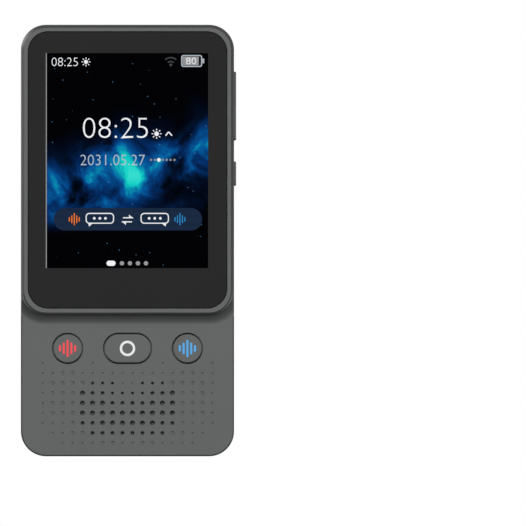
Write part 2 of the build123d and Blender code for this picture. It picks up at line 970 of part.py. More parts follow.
with BuildPart() as speaker_frame:
    with BuildSketch(level(speaker_back_y)):
        with Locations((0, speaker_centre_z)):
            Rectangle(speaker_width, speaker_height)
    extrude(amount=speaker_depth)
    with BuildSketch(level(gasket_y)):
        with Locations((0, speaker_centre_z)):
            Rectangle(speaker_width - 2 * speaker_rim, speaker_height - 2 * speaker_rim)
    extrude(amount=-cone_recess, mode=Mode.SUBTRACT)
    with BuildSketch(level(speaker_back_y)):
        with Locations((0, speaker_centre_z)):
            Rectangle(magnet_width, magnet_height)
    extrude(amount=magnet_depth, mode=Mode.SUBTRACT)
save("speaker_frame", speaker_frame)

with BuildPart() as speaker_cone:
    with BuildSketch(level(gasket_y + cone_recess)):
        with Locations((0, speaker_centre_z)):
            Rectangle(
                speaker_width - 2 * (speaker_rim + cone_gap),
                speaker_height - 2 * (speaker_rim + cone_gap),
            )
    extrude(amount=cone_thickness)
    with BuildSketch(level(gasket_y + cone_recess - cone_thickness)):
        with Locations((0, speaker_centre_z)):
            Rectangle(dome_width, dome_height)
    extrude(amount=dome_rise, taper=45)
save("speaker_cone", speaker_cone)

speaker_magnet = block(
    speaker_back_y, magnet_depth, 0, speaker_centre_z, magnet_width, magnet_height
)
save("speaker_magnet", speaker_magnet)

# ---------------------------------------------------------------- camera

camera_axis = Axis((0, 0, camera_z), (0, 1, 0))
ring_inner_radius = ring_radius - ring_rim
with BuildPart() as camera_ring:
    with BuildSketch(Plane.YZ):
        with BuildLine():
            Polyline(
                (ring_base_y, camera_z + ring_radius),
                (ring_base_y, camera_z + ring_inner_radius),
                (ring_front_y, camera_z + ring_inner_radius),
                (ring_front_y, camera_z + ring_radius - ring_bevel),
                (ring_front_y - ring_bevel, camera_z + ring_radius),
                close=True,
            )
        make_face()
    revolve(axis=camera_axis)
save("camera_ring", camera_ring)

with BuildPart() as camera_window:
    with BuildSketch(level(ring_base_y)):
        with Locations((0, camera_z)):
            Circle(window_radius)
            Circle(lens_radius + lens_gap, mode=Mode.SUBTRACT)
    extrude(amount=-(window_front_y - ring_base_y))
save("camera_window", camera_window)

with BuildPart() as camera_lens:
    with BuildSketch(Plane.YZ):
        with BuildLine():
            Polyline(
                (barrel_front_y, camera_z),
                (barrel_front_y, camera_z + lens_radius),
                (lens_crown_y - lens_crown, camera_z + lens_radius),
                (lens_crown_y, camera_z + lens_flat),
                (lens_crown_y, camera_z),
                close=True,
            )
        make_face()
    revolve(axis=camera_axis)
save("camera_lens", camera_lens)

with BuildPart() as lens_barrel:
    with BuildSketch(level(barrel_base_y)):
        with Locations((0, camera_z)):
            Circle(barrel_radius)
    extrude(amount=-barrel_length)
save("lens_barrel", lens_barrel)

camera_module = block(
    camera_board_y, -(barrel_base_y - camera_board_y), 0, camera_z, module_size, module_size
)
save("camera_module", camera_module)

camera_board = block(
    board_back_y,
    -camera_board_thickness,
    0,
    camera_z,
    camera_board_width,
    camera_board_height,
)
save("camera_board", camera_board)

# ---------------------------------------------------------------- microphone

with BuildPart() as mic_boot:
    with BuildSketch(Plane.XY.offset(wall)):
        with Locations((mic_x, mic_y)):
            Rectangle(boot_width, boot_depth)
            Circle(mic_hole_radius, mode=Mode.SUBTRACT)
    extrude(amount=boot_height)
    with BuildSketch(Plane.XY.offset(wall + boot_floor)):
        with Locations((mic_x, mic_y)):
            Rectangle(mic_width, mic_depth)
    extrude(amount=boot_height - boot_floor, mode=Mode.SUBTRACT)
save("mic_boot", mic_boot)

with BuildPart() as microphone:
    with BuildSketch(Plane.XY.offset(wall + boot_floor)):
        with Locations((mic_x, mic_y)):
            Rectangle(mic_width, mic_depth)
    extrude(amount=mic_height)
save("microphone", microphone)

# ---------------------------------------------------------------- ribbons and connectors

half_ribbon = ribbon_thickness / 2
display_connector_z = panel_bottom_z + display_connector_rise
display_connector = block(
    board_front_y,
    connector_height,
    0,
    display_connector_z + connector_length / 2,
    display_ribbon_width + 2 * half_ribbon,
    connector_length,
)
save("display_connector", display_connector)

leave_y = panel_back_y - display_ribbon_setback
enter_y = board_front_y - connector_height / 2
turn_radius = (enter_y - leave_y) / 2
with BuildPart() as display_ribbon:
    with BuildSketch(Plane.YZ.offset(-display_ribbon_width / 2)):
        with BuildLine():
            Line((leave_y, panel_bottom_z), (leave_y, panel_bottom_z - ribbon_bend))
            ThreePointArc(
                (leave_y, panel_bottom_z - ribbon_bend),
                (leave_y + turn_radius, panel_bottom_z - ribbon_bend - turn_radius),
                (enter_y, panel_bottom_z - ribbon_bend),
            )
            Line((enter_y, panel_bottom_z - ribbon_bend), (enter_y, display_connector_z))
        trace(line_width=ribbon_thickness)
    extrude(amount=display_ribbon_width)
save("display_ribbon", display_ribbon)

battery_connector_z = battery_top_z + battery_connector_rise
battery_connector = block(
    board_back_y,
    -connector_height,
    battery_ribbon_x,
    battery_connector_z + connector_length / 2,
    battery_ribbon_width + 2 * half_ribbon,
    connector_length,
)
save("battery_connector", battery_connector)

battery_lead_y = battery_front_y + battery_edge_round
battery_ribbon = ribbon(
    (
        (battery_lead_y, battery_top_z),
        (battery_lead_y, battery_connector_z + connector_length / 2),
        (board_back_y + connector_height, battery_connector_z + connector_length / 2),
    ),
    battery_ribbon_x,
    battery_ribbon_width,
)
save("battery_ribbon", battery_ribbon)

speaker_top_z = speaker_centre_z + speaker_height / 2
speaker_ribbon = ribbon(
    (
        (speaker_back_y + half_ribbon, speaker_top_z - speaker_ribbon_lap),
        (speaker_back_y + half_ribbon, speaker_top_z + 2 * ribbon_bend),
        (board_back_y + half_ribbon, board_bottom_z + ribbon_bend),
        (board_back_y + half_ribbon, board_bottom_z + board_lap),
    ),
    0,
    speaker_ribbon_width,
)
save("speaker_ribbon", speaker_ribbon)

mic_top_z = wall + boot_floor + mic_height
mic_ribbon = ribbon(
    (
        (mic_y, mic_top_z),
        (mic_y, board_bottom_z - 2 * ribbon_bend),
        (board_back_y + half_ribbon, board_bottom_z + ribbon_bend),
        (board_back_y + half_ribbon, board_bottom_z + board_lap),
    ),
    mic_x,
    mic_ribbon_width,
)
save("mic_ribbon", mic_ribbon)

# Printed aerial on the inside of the back, folded round a slot.
with BuildPart() as antenna:
    with BuildSketch(level(inner_back_y)):
        with Locations((0, battery_bottom_z - antenna_height / 2)):
            Rectangle(antenna_width, antenna_height)
            Rectangle(antenna_width - 2 * antenna_side_bar, antenna_slot, mode=Mode.SUBTRACT)
    extrude(amount=antenna_thickness)
save("antenna", antenna)
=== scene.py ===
"""Looks of a handheld voice translator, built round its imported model.

Lengths are written in millimetres and turned to metres by the mesh builders. The device
stands upright: +Z along its length, the screen faces -Y, +X is to the right from the front.
"""

from math import asin, cos, hypot, pi, radians, sin

import bmesh
import bpy
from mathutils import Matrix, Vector


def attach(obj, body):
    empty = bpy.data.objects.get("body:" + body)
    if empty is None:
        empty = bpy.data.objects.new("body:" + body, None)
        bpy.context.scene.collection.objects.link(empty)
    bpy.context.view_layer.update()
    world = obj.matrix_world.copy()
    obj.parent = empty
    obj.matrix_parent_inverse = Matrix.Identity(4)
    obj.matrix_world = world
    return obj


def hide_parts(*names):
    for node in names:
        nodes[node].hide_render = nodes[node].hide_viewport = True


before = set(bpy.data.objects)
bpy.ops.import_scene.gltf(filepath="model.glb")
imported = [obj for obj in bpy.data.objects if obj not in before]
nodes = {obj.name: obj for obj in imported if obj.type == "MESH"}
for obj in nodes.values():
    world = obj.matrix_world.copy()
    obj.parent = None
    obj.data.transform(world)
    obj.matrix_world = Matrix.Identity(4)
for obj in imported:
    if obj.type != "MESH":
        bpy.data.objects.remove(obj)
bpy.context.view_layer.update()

MM = 0.001

# ---- sizes, in millimetres

BODY_WIDTH, BODY_HEIGHT = 57.1, 115.6
BODY_CORNER = 6.7
DECK_Y, LIP_Y, SEAM_Y = -6.5, -8.7, -4.5
ROLL_Y, BACK_Y = 1.0, 6.5
SIDE_ROLL, END_ROLL, ROLL_CORNER_GAIN = 10.8, 8.4, 3.0
WALL = 1.6
KEY_ROW_Z, TALK_KEY_X = 28.9, 16.05
KEY_FRONT_Y = -6.7
CAMERA_Z = 91.2

LENS_RADIUS, PUPIL_RADIUS = 3.7, 1.5

# Lit area of the display, and the front face of the glass over it.
PICTURE_WIDTH, PICTURE_HEIGHT = 43.2, 57.6
PICTURE_BOTTOM_Z = 50.4
GLASS_FRONT_Y = -8.6
INK = 0.02  # thickness of a printed or lit layer

# Middle, size and slant of the wallpaper's band of haze, as a shader mapping that runs in metres.
HAZE_SCALE = (26.0, 26.0, 26.0)
HAZE_CENTRE = (-0.1, 0.2, -1.78)
HAZE_SLANT = radians(20)
HAZE_FADE_FROM_Z, HAZE_FADE_TO_Z = 59.0, 68.0  # the haze thins out between these heights
# Sway, middle and reach of the band in that mapping, and how bright its heart is.
HAZE_SWAY, HAZE_MIDDLE, HAZE_REACH, HEART_GLOW = 0.9, 0.51, 0.52, 0.55


# ---- materials

# Millimetres over which moulded colour, smears, board tracks, cloth threads and stars repeat.
BLOTCH, SMEAR, TRACKS, THREAD, STAR_PITCH = 9.0, 14.0, 8.0, 0.5, 2.4


def linear(hex_colour, alpha=1.0):
    """An sRGB hex colour as linear red, green, blue, alpha."""
    parts = [int(hex_colour[i : i + 2], 16) / 255 for i in (1, 3, 5)]
    return [p / 12.92 if p <= 0.04045 else ((p + 0.055) / 1.055) ** 2.4 for p in parts] + [alpha]


def toned(colour, share):
    """A linear colour, darker or lighter by a factor."""
    return [c * share for c in colour[:3]] + [1.0]


def wire(tree, node, links):
    """Link outputs into a node's sockets. A node stands for its first output in use."""
    for socket, source in links.items():
        if isinstance(source, bpy.types.Node):
            source = next(output for output in source.outputs if output.enabled)
        tree.links.new(source, node.inputs[socket])


def add(tree, kind, settings):
    """Add one shader node. A setting that is a node or a node's output becomes a link."""
    made = tree.nodes.new("ShaderNode" + kind)
    for name, value in settings.items():
        if isinstance(value, (bpy.types.Node, bpy.types.NodeSocket)):
            wire(tree, made, {name: value})
        elif isinstance(name, int) or name in made.inputs:
            made.inputs[name].default_value = value
        else:
            setattr(made, name, value)
    return made


def surface(name, **shader_settings):
    """A new material, its node tree, its shader with the given sockets set, and where it lies.

    The last is the output with the object's own coordinates, which place every pattern.
    """
    material = bpy.data.materials.new(name)
    material.use_nodes = True
    tree = material.node_tree
    shader = tree.nodes["Principled BSDF"]
    for socket, value in shader_settings.items():
        shader.inputs[socket.replace("_", " ")].default_value = value
    place = add(tree, "TexCoord", {}).outputs["Object"]
    return material, tree, shader, place


def colour_stops(ramp, stops):
    """Set a colour ramp's (position, colour) stops, the first of them at 0."""
    elements = ramp.color_ramp.elements
    elements.remove(elements[1])
    elements[0].color = stops[0][1]
    for position, colour in stops[1:]:
        elements.new(position).color = colour


def grain(tree, shader, place, colour, *, size_mm, depth_mm, variation, roughness, spread, soften_mm=0.0):
    """Fine moulded or blasted texture: bump, slightly uneven colour and uneven gloss.

    Returns the node with the colour, which already feeds the shader. With soften_mm, edges
    catch the light as if rounded by that much.
    """
    fine = add(tree, "TexNoise", {
        "Scale": 1 / (size_mm * MM), "Detail": 2.0, "Roughness": 0.6, "Vector": place,
    })
    broad = add(tree, "TexNoise", {
        "Scale": 1 / (BLOTCH * MM), "Detail": 3.0, "Roughness": 0.55, "Vector": place,
    })
    darker, lighter = toned(colour, 1 - variation), toned(colour, 1 + variation)
    tint = add(tree, "Mix", {"data_type": "RGBA", 6: darker, 7: lighter, 0: broad})
    speckle = add(tree, "Mix", {
        "data_type": "RGBA", "blend_type": "SOFT_LIGHT", 0: variation * 2, 6: tint,
        7: fine.outputs["Color"],
    })
    gloss = add(tree, "MapRange", {
        "To Min": roughness - spread, "To Max": roughness + spread, "Value": fine,
    })
    bump = add(tree, "Bump", {"Strength": 0.6, "Distance": depth_mm * MM, "Height": fine})
    if soften_mm:
        rounded = add(tree, "Bevel", {"samples": 6, "Radius": soften_mm * MM})
        wire(tree, bump, {"Normal": rounded})
    wire(tree, shader, {"Base Color": speckle, "Roughness": gloss, "Normal": bump})
    return speckle


def spark_eroded_abs(name, hex_colour, soften_mm=0.0, painted_shade_tones=()):
    """ABS moulded in a spark-eroded tool: dull grey with a fine even grain.

    The grain is drawn 0.35 mm wide, coarser than the real one, so that it shows. With tones,
    pairs of depth and tone, the grey darkens by depth as painted shade, as where a lip turns away.
    """
    material, tree, shader, place = surface(name, IOR=1.53, Specular_IOR_Level=0.15)
    colour = grain(
        tree, shader, place, linear(hex_colour),
        size_mm=0.35, depth_mm=0.02, variation=0.04, roughness=0.56, spread=0.06, soften_mm=soften_mm,
    )
    if not painted_shade_tones:
        return material
    parts = add(tree, "SeparateXYZ", {"Vector": place})
    first, last = painted_shade_tones[0][0], painted_shade_tones[-1][0]
    along = add(tree, "MapRange", {
        "From Min": first * MM, "From Max": last * MM, "Value": parts.outputs["Y"],
    })
    ramp = add(tree, "ValToRGB", {"Fac": along})
    colour_stops(
        ramp, [((depth - first) / (last - first), (tone, tone, tone, 1.0)) for depth, tone in painted_shade_tones]
    )
    shaded = add(tree, "Mix", {"data_type": "RGBA", "blend_type": "MULTIPLY", 0: 1.0, 6: colour, 7: ramp})
    wire(tree, shader, {"Base Color": shaded})
    return material


def vary(tree, shader, share, hex_colour, darkest, smoothest, roughest):
    """Vary colour and roughness together, from dark and smooth where the share is 0."""
    colour = linear(hex_colour)
    tint = add(tree, "Mix", {"data_type": "RGBA", 6: toned(colour, darkest), 7: colour, 0: share})
    gloss = add(tree, "MapRange", {"To Min": smoothest, "To Max": roughest, "Value": share})
    wire(tree, shader, {"Roughness": gloss, "Base Color": tint})


def polished_black_glass(name, hex_colour, specular):
    """Toughened glass printed black on its back: deep, dark and glossy, faintly uneven."""
    material, tree, shader, place = surface(name, IOR=1.5, Specular_IOR_Level=specular)
    smear = add(tree, "TexNoise", {"Scale": 1 / (SMEAR * MM), "Detail": 4.0, "Vector": place})
    vary(tree, shader, smear, hex_colour, 0.9, 0.05, 0.12)
    return material


def pressed_steel(name, hex_colour):
    """Rolled and pressed steel sheet: straight fine rolling marks in a bright grey."""
    material, tree, shader, place = surface(name, Metallic=1.0)
    mark_width, mark_length = 0.15 * MM, 6.0 * MM
    along = add(tree, "Mapping", {
        "Scale": (1 / mark_width, 1 / mark_width, 1 / mark_length), "Vector": place,
    })
    marks = add(tree, "TexNoise", {"Scale": 1.0, "Detail": 3.0, "Vector": along})
    vary(tree, shader, marks, hex_colour, 0.85, 0.22, 0.38)
    return material


def anodised_ring():
    """Turned aluminium, bead blasted and anodised dark grey: a soft metal sheen."""
    material, tree, shader, place = surface("anodised_aluminium", Metallic=0.85)
    grain(
        tree, shader, place, linear("#505153"),
        size_mm=0.25, depth_mm=0.006, variation=0.05, roughness=0.38, spread=0.05, soften_mm=0.08,
    )
    return material


def coated_lens():
    """Optical glass with a coat, its violet and blue painted in as reflection, bluer towards one side as
    light falls on it.
    """
    material, tree, shader, place = surface(
        "coated_lens_glass_painted_reflection", IOR=1.6, Roughness=0.05, Specular_IOR_Level=0.12
    )
    from_axis = add(tree, "VectorMath", {"operation": "SUBTRACT", 1: (0.0, 0.0, CAMERA_Z * MM), 0: place})
    to_rim = 1 / (LENS_RADIUS * MM)
    across = add(tree, "VectorMath", {
        "operation": "DOT_PRODUCT", 1: (0.6 * to_rim, 0.0, -0.8 * to_rim), 0: from_axis,
    })
    # Painted reflection: the coat's colour shifts from violet to blue across the lens.
    bluer_side_reflection = add(tree, "MapRange", {"From Min": -0.9, "From Max": 0.9, "Value": across})
    tint = add(tree, "ValToRGB", {"Fac": bluer_side_reflection})
    colours = ((0.0, "#3A2F3A"), (0.45, "#332F4A"), (1.0, "#28297A"))
    colour_stops(tint, [(position, linear(colour)) for position, colour in colours])
    wire(tree, shader, {"Base Color": tint})
    return material


def inner_lens():
    """The dark inner lens, nearly black, with a painted violet sheen of its coat at the rim that fades
    towards its middle.
    """
    material, tree, shader, place = surface(
        "coated_inner_lens_glass_painted_sheen", IOR=1.6, Roughness=0.04, Specular_IOR_Level=0.45
    )
    to_rim = 1 / (PUPIL_RADIUS * MM)
    from_axis = add(tree, "Mapping", {
        "Scale": (to_rim, 0.0, to_rim), "Location": (0.0, 0.0, -CAMERA_Z * MM * to_rim), "Vector": place,
    })
    middle = add(tree, "TexGradient", {"gradient_type": "SPHERICAL", "Vector": from_axis})
    # Painted sheen: violet towards the rim, nearly black in the middle.
    tint = add(tree, "Mix", {
        "data_type": "RGBA", 6: linear("#43366B"), 7: linear("#0E0C12"), 0: middle.outputs["Fac"],
    })
    wire(tree, shader, {"Base Color": tint})
    return material


def circuit_board():
    """Glass-fibre board under green solder mask, paler over its copper tracks."""
    material, tree, shader, place = surface("solder_masked_board", Roughness=0.35, IOR=1.5)
    tracks = add(tree, "TexBrick", {
        "Scale": 1 / (TRACKS * MM), "Color1": linear("#0E4A2A"), "Color2": linear("#115632"),
        "Mortar": linear("#1C7A48"), "Mortar Size": 0.03, "Vector": place,
    })
    wire(tree, shader, {"Base Color": tracks})
    return material


def inner_finish(name, hex_colour, roughness, size_mm=0.4):
    """Pieces inside the body, moulded, foamed or pressed from film: a plain uneven finish."""
    material, tree, shader, place = surface(name)
    grain(
        tree, shader, place, linear(hex_colour),
        size_mm=size_mm, depth_mm=0.02, variation=0.08, roughness=roughness, spread=0.08,
    )
    return material


def acoustic_cloth():
    """Woven black polyester mesh over the speaker, two threads to the millimetre."""
    material, tree, shader, place = surface("woven_speaker_cloth", Roughness=0.8)
    weave = add(tree, "TexChecker", {
        "Scale": 1 / (THREAD * MM), "Color1": linear("#4E4E4E"), "Color2": linear("#686868"),
        "Vector": place,
    })
    wire(tree, shader, {"Base Color": weave})
    return material


# Black when unlit, under clear glass: all that shows is the light of the crystal itself.
CRYSTAL = {
    "Base_Color": linear("#000000"),
    "Roughness": 0.08,
    "IOR": 1.5,
    "Specular_IOR_Level": 0.01,
    "Emission_Strength": 1.0,
}


def lit_crystal(name, hex_colour):
    """Lit liquid crystal behind the glass: rows of pixels, drawn 0.3 mm apart so they show."""
    material, tree, shader, place = surface(name, **CRYSTAL)
    waves_in_texture, row_pitch = 20, 0.3 * MM
    rows = add(tree, "TexWave", {
        "bands_direction": "Z", "Scale": 1 / (waves_in_texture * row_pitch), "Vector": place,
    })
    colour = linear(hex_colour)
    shade = add(tree, "Mix", {
        "data_type": "RGBA", 6: toned(colour, 0.9), 7: colour, 0: rows.outputs["Fac"],
    })
    wire(tree, shader, {"Emission Color": shade})
    return material


def star_haze():
    """The lit wallpaper: a slanting band of blue haze with a teal heart, and a few stars."""
    material, tree, shader, place = surface("lit_crystal_wallpaper", **CRYSTAL)
    across = add(tree, "Mapping", {
        "Location": HAZE_CENTRE, "Rotation": (0.0, HAZE_SLANT, 0.0), "Scale": HAZE_SCALE, "Vector": place,
    })
    clouds = add(tree, "TexNoise", {
        "Scale": 2.6, "Detail": 9.0, "Roughness": 0.58, "Distortion": 0.5, "Vector": across,
    })
    drift = add(tree, "TexNoise", {"Scale": 1.1, "Detail": 2.0, "Vector": across})
    parts = add(tree, "SeparateXYZ", {"Vector": across})
    bent = add(tree, "Math", {"operation": "MULTIPLY_ADD", 1: HAZE_SWAY, 0: drift, 2: parts.outputs["Z"]})
    from_band = add(tree, "Math", {"operation": "SUBTRACT", 1: HAZE_MIDDLE, 0: bent})
    distance = add(tree, "Math", {"operation": "ABSOLUTE", 0: from_band})
    band = add(tree, "MapRange", {
        "interpolation_type": "SMOOTHSTEP", "From Min": HAZE_REACH, "From Max": 0.0, "Value": distance,
    })
    heart = add(tree, "TexGradient", {"gradient_type": "SPHERICAL", "Vector": across})
    wisps = add(tree, "MapRange", {"From Min": 0.36, "From Max": 0.66, "Value": clouds})
    height = add(tree, "SeparateXYZ", {"Vector": place})
    fade = add(tree, "MapRange", {
        "interpolation_type": "SMOOTHSTEP", "From Min": HAZE_FADE_FROM_Z * MM,
        "From Max": HAZE_FADE_TO_Z * MM, "Value": height.outputs["Z"],
    })
    wisps_above = add(tree, "Math", {"operation": "MULTIPLY", 0: fade, 1: wisps})
    haze = add(tree, "Math", {"operation": "MULTIPLY", 0: band, 1: wisps_above})
    glow = add(tree, "Math", {
        "operation": "MULTIPLY_ADD", 1: HEART_GLOW, 0: heart.outputs["Fac"], 2: haze,
    })
    dim = add(tree, "Math", {"operation": "MULTIPLY", 0: glow, 1: haze})
    level = add(tree, "MapRange", {"From Max": 1.5, "Value": dim})
    tint = add(tree, "ValToRGB", {"Fac": level})
    hazes = (
        (0.0, "#000002"), (0.06, "#00102A"), (0.18, "#022E66"), (0.37, "#04589A"),
        (0.53, "#0790B0"), (0.7, "#12D0C6"), (1.0, "#52F0DA"),
    )
    colour_stops(tint, [(position, linear(colour)) for position, colour in hazes])
    dots = add(tree, "TexVoronoi", {"Scale": 1 / (STAR_PITCH * MM), "Vector": place})
    star = add(tree, "MapRange", {"From Min": 0.07, "From Max": 0.0, "To Max": 0.5, "Value": dots})
    starry = add(tree, "Mix", {
        "data_type": "RGBA", "blend_type": "ADD", 7: linear("#7FC4FF"), 0: star, 6: tint,
    })
    wire(tree, shader, {"Emission Color": starry})
    return material


def pad_print(name, hex_colour):
    """Pad-printed ink on a key: nearly flat, a little uneven where the pad lifted."""
    material, tree, shader, place = surface(name, IOR=1.48, Specular_IOR_Level=0.3)
    grain(
        tree, shader, place, linear(hex_colour),
        size_mm=0.3, depth_mm=0.004, variation=0.03, roughness=0.45, spread=0.05,
    )
    return material


# The rear grey is the front's plastic made darker: painted shade, for the dimmer light on the back.
# The side keys' grey is the same plastic made a little lighter: painted highlight, as on their lit edges.
FRONT_GREY, REAR_SHADED_GREY, SIDE_KEY_HIGHLIT_GREY = "#656766", "#5E605F", "#6C6E6F"
EDGE_SOFTNESS = 0.15

front_abs = spark_eroded_abs("spark_eroded_abs_front", FRONT_GREY, EDGE_SOFTNESS)
# Copies of the front grey with painted shade, darker by depth: on the hollowed ramp under the lip, on the
# platform's sides and on the rounded rim by the deck.
ramp_painted_shade = ((DECK_Y, 1.0), (DECK_Y - 0.07, 0.7), (DECK_Y - 0.16, 0.55), (DECK_Y - 0.4, 0.44))
ramp_abs_painted_shade = spark_eroded_abs("spark_eroded_abs_ramp_painted_shade", FRONT_GREY, painted_shade_tones=ramp_painted_shade)
lip_painted_shade = ((DECK_Y, 1.0), (DECK_Y - 0.4, 0.2), (DECK_Y - 1.5, 0.2), (LIP_Y, 0.45))
lip_abs_painted_shade = spark_eroded_abs("spark_eroded_abs_lip_painted_shade", FRONT_GREY, painted_shade_tones=lip_painted_shade)
rim_painted_shade = ((DECK_Y, 1.0), (DECK_Y + 0.04, 0.3))
rim_abs_painted_shade = spark_eroded_abs("spark_eroded_abs_rim_painted_shade", FRONT_GREY, painted_shade_tones=rim_painted_shade)
rear_abs_painted_shade = spark_eroded_abs("spark_eroded_abs_rear_painted_shade", REAR_SHADED_GREY, EDGE_SOFTNESS)
key_abs = spark_eroded_abs("satin_abs_keys", FRONT_GREY, EDGE_SOFTNESS)
side_key_abs_painted_highlight = spark_eroded_abs("satin_abs_side_keys_painted_highlight", SIDE_KEY_HIGHLIT_GREY, EDGE_SOFTNESS)
cover = polished_black_glass("black_printed_cover_glass", "#1C1C1C", 0.18)
window = polished_black_glass("black_printed_camera_glass", "#0B0B0C", 0.16)
tin_plate = pressed_steel("pressed_tin_plate", "#B9BABC")
# The port's steel is darker than bright steel: painted shade of the cut it stands in.
drawn_steel_painted_shade = pressed_steel("drawn_port_steel_painted_shade", "#6C6D70")
ring = anodised_ring()
lens = coated_lens()
pupil = inner_lens()
board = circuit_board()
black_nylon = inner_finish("moulded_black_nylon", "#1A1A1B", 0.45)
epoxy = inner_finish("moulded_chip_epoxy", "#232325", 0.6, 0.2)
pouch = inner_finish("laminated_battery_pouch", "#A9ABAE", 0.4, 2.0)
rubber = inner_finish("moulded_silicone_rubber", "#202020", 0.75)
foam_tape = inner_finish("black_foam_tape", "#161616", 0.9, 0.3)
polyimide = inner_finish("polyimide_ribbon_film", "#8A4F14", 0.35, 0.8)
cloth = acoustic_cloth()
wallpaper = star_haze()
lit_white = lit_crystal("lit_crystal_white", "#F4F6F8")
lit_pale = lit_crystal("lit_crystal_pale", "#B4BEC8")
lit_grey = lit_crystal("lit_crystal_grey", "#969899")
lit_dim = lit_crystal("lit_crystal_dim", "#46484A")
lit_panel = lit_crystal("lit_crystal_panel", "#1B2A42")
lit_orange = lit_crystal("lit_crystal_orange", "#F07A22")
lit_blue = lit_crystal("lit_crystal_blue", "#2D86C8")
red_ink = pad_print("pad_printed_red_ink", "#FF4B50")
blue_ink = pad_print("pad_printed_blue_ink", "#52B0F4")
white_ink = pad_print("pad_printed_white_ink", "#F6F6F6")

key_switches = ["talk_switch_left", "home_switch", "talk_switch_right", "power_switch"]
rocker_switches = ["volume_down_switch", "volume_up_switch"]
housings = ["display_tray", "radio_shield", "speaker_magnet", "microphone"]
connectors = ["display_connector", "battery_connector"]
speaker_and_camera = ["speaker_frame", "speaker_cone", "lens_barrel", "camera_module"]
finishes = {
    front_abs: ["front_shell"],
    rear_abs_painted_shade: ["rear_shell"],
    key_abs: ["talk_key_left", "home_key", "talk_key_right"],
    side_key_abs_painted_highlight: ["power_key", "volume_key"],
    cover: ["cover_glass", "display_panel"],
    window: ["camera_window"],
    tin_plate: housings + key_switches + rocker_switches + ["board_screws"],
    drawn_steel_painted_shade: ["usb_shell"],
    ring: ["camera_ring"],
    lens: ["camera_lens"],
    board: ["main_board", "camera_board"],
    black_nylon: connectors + speaker_and_camera + ["usb_tongue"],
    epoxy: ["processor", "memory_chip", "power_chip"],
    pouch: ["battery"],
    rubber: ["mic_boot"],
    foam_tape: ["glass_tape", "battery_tape", "speaker_gasket"],
    polyimide: ["display_ribbon", "battery_ribbon", "speaker_ribbon", "mic_ribbon", "antenna"],
    cloth: ["speaker_cloth"],
}
for finish, names in finishes.items():
    for name in names:
        nodes[name].data.materials.clear()
        nodes[name].data.materials.append(finish)

# ---- mesh builders

SHARP_FROM = radians(28)  # an edge that turns by more stays a hard edge
WELD = 0.0005  # corners of a shell nearer than this are one corner
GLYPH_WELD = 1e-5  # the same for digits, in the units of a text curve


def new_object(name, data):
    """A new object in the scene for a mesh, a text, a camera or a light."""
    made = bpy.data.objects.new(name, data)
    bpy.context.scene.collection.objects.link(made)
    return made


def mesh_object(name, points, faces):
    """A mesh object in the scene from points in millimetres."""
    mesh = bpy.data.meshes.new(name)
    mesh.from_pydata([[c * MM for c in point] for point in points], [], faces)
    return new_object(name, mesh)


def edit(mesh, change):
    """Change a mesh in place by one bmesh operation."""
    shaped = bmesh.new()
    shaped.from_mesh(mesh)
    change(shaped)
    shaped.to_mesh(mesh)
    shaped.free()


def weld(mesh, distance):
    """Join the corners of a mesh that lie nearer than a distance."""
    edit(mesh, lambda shaped: bmesh.ops.remove_doubles(shaped, verts=shaped.verts, dist=distance))


def piece(name, points, faces, material, body):
    """A flat-faced piece from points in millimetres that rides on a body of the model."""
    made = mesh_object(name, points, faces)
    made.data.materials.append(material)
    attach(made, body)
    return made


def rounded_outline(x, z, width, height, corner, steps=8):
    """Points of a rounded rectangle round (x, z), counter-clockwise from the front."""
    outline = []
    for quarter, (side, end) in enumerate(((1, 1), (-1, 1), (-1, -1), (1, -1))):
        centre_x = x + side * (width / 2 - corner)
        centre_z = z + end * (height / 2 - corner)
        for step in range(steps + 1):
            angle = radians(90 * (quarter + step / steps))
            outline.append((centre_x + corner * cos(angle), centre_z + corner * sin(angle)))
    return outline


def slabs(name, outlines, front_y, thickness, material, body):
    """Thin plates with the given outlines, all in one piece, their faces at front_y."""
    points, faces = [], []
    for outline in outlines:
        first, count = len(points), len(outline)
        points += [(x, front_y, z) for x, z in outline]
        points += [(x, front_y + thickness, z) for x, z in outline]
        faces.append([first + i for i in range(count)])
        faces.append([first + count + i for i in reversed(range(count))])
        for i in range(count):
            j = (i + 1) % count
            faces.append([first + i, first + count + i, first + count + j, first + j])
    return piece(name, points, faces, material, body)


def bars(x, z, heights, pitch, width):
    """Outlines of upright rounded bars side by side, the middle one at x."""
    middle = (len(heights) - 1) / 2
    corner = width / 2.001  # a little under half, so that no two corners share a place
    return [
        rounded_outline(x + (place - middle) * pitch, z, width, height, corner, 6)
        for place, height in enumerate(heights)
    ]


def loft(parts):
    """Points and faces of closed solids, each a list of (y, outline) sections with capped ends."""
    points, faces = [], []
    for sections in parts:
        count = len(sections[0][1])
        first = len(points)
        for y, outline in sections:
            points += [(x, y, z) for x, z in outline]
        rings = [range(first + k * count, first + (k + 1) * count) for k in range(len(sections))]
        for near, far in zip(rings, rings[1:]):
            for i in range(count):
                j = (i + 1) % count
                faces.append([near[i], far[i], far[j], near[j]])
        faces.append(list(rings[0]))
        faces.append(list(reversed(rings[-1])))
    return points, faces


def closed_mesh(name, points, faces):
    """A mesh object in millimetre points with its faces turned outwards."""
    made = mesh_object(name, points, faces)
    edit(made.data, lambda shaped: bmesh.ops.recalc_face_normals(shaped, faces=shaped.faces))
    return made


def combine(target, tool_parts, operation):
    """Join solids to a mesh object, or cut them out of it."""
    tool = closed_mesh("tool", *loft(tool_parts))
    step = target.modifiers.new("combine", "BOOLEAN")
    step.operation, step.solver, step.object = operation, "EXACT", tool
    shaped = target.evaluated_get(bpy.context.evaluated_depsgraph_get())
    mesh = bpy.data.meshes.new_from_object(shaped)
    target.modifiers.remove(step)
    target.data = mesh
    bpy.data.objects.remove(tool)


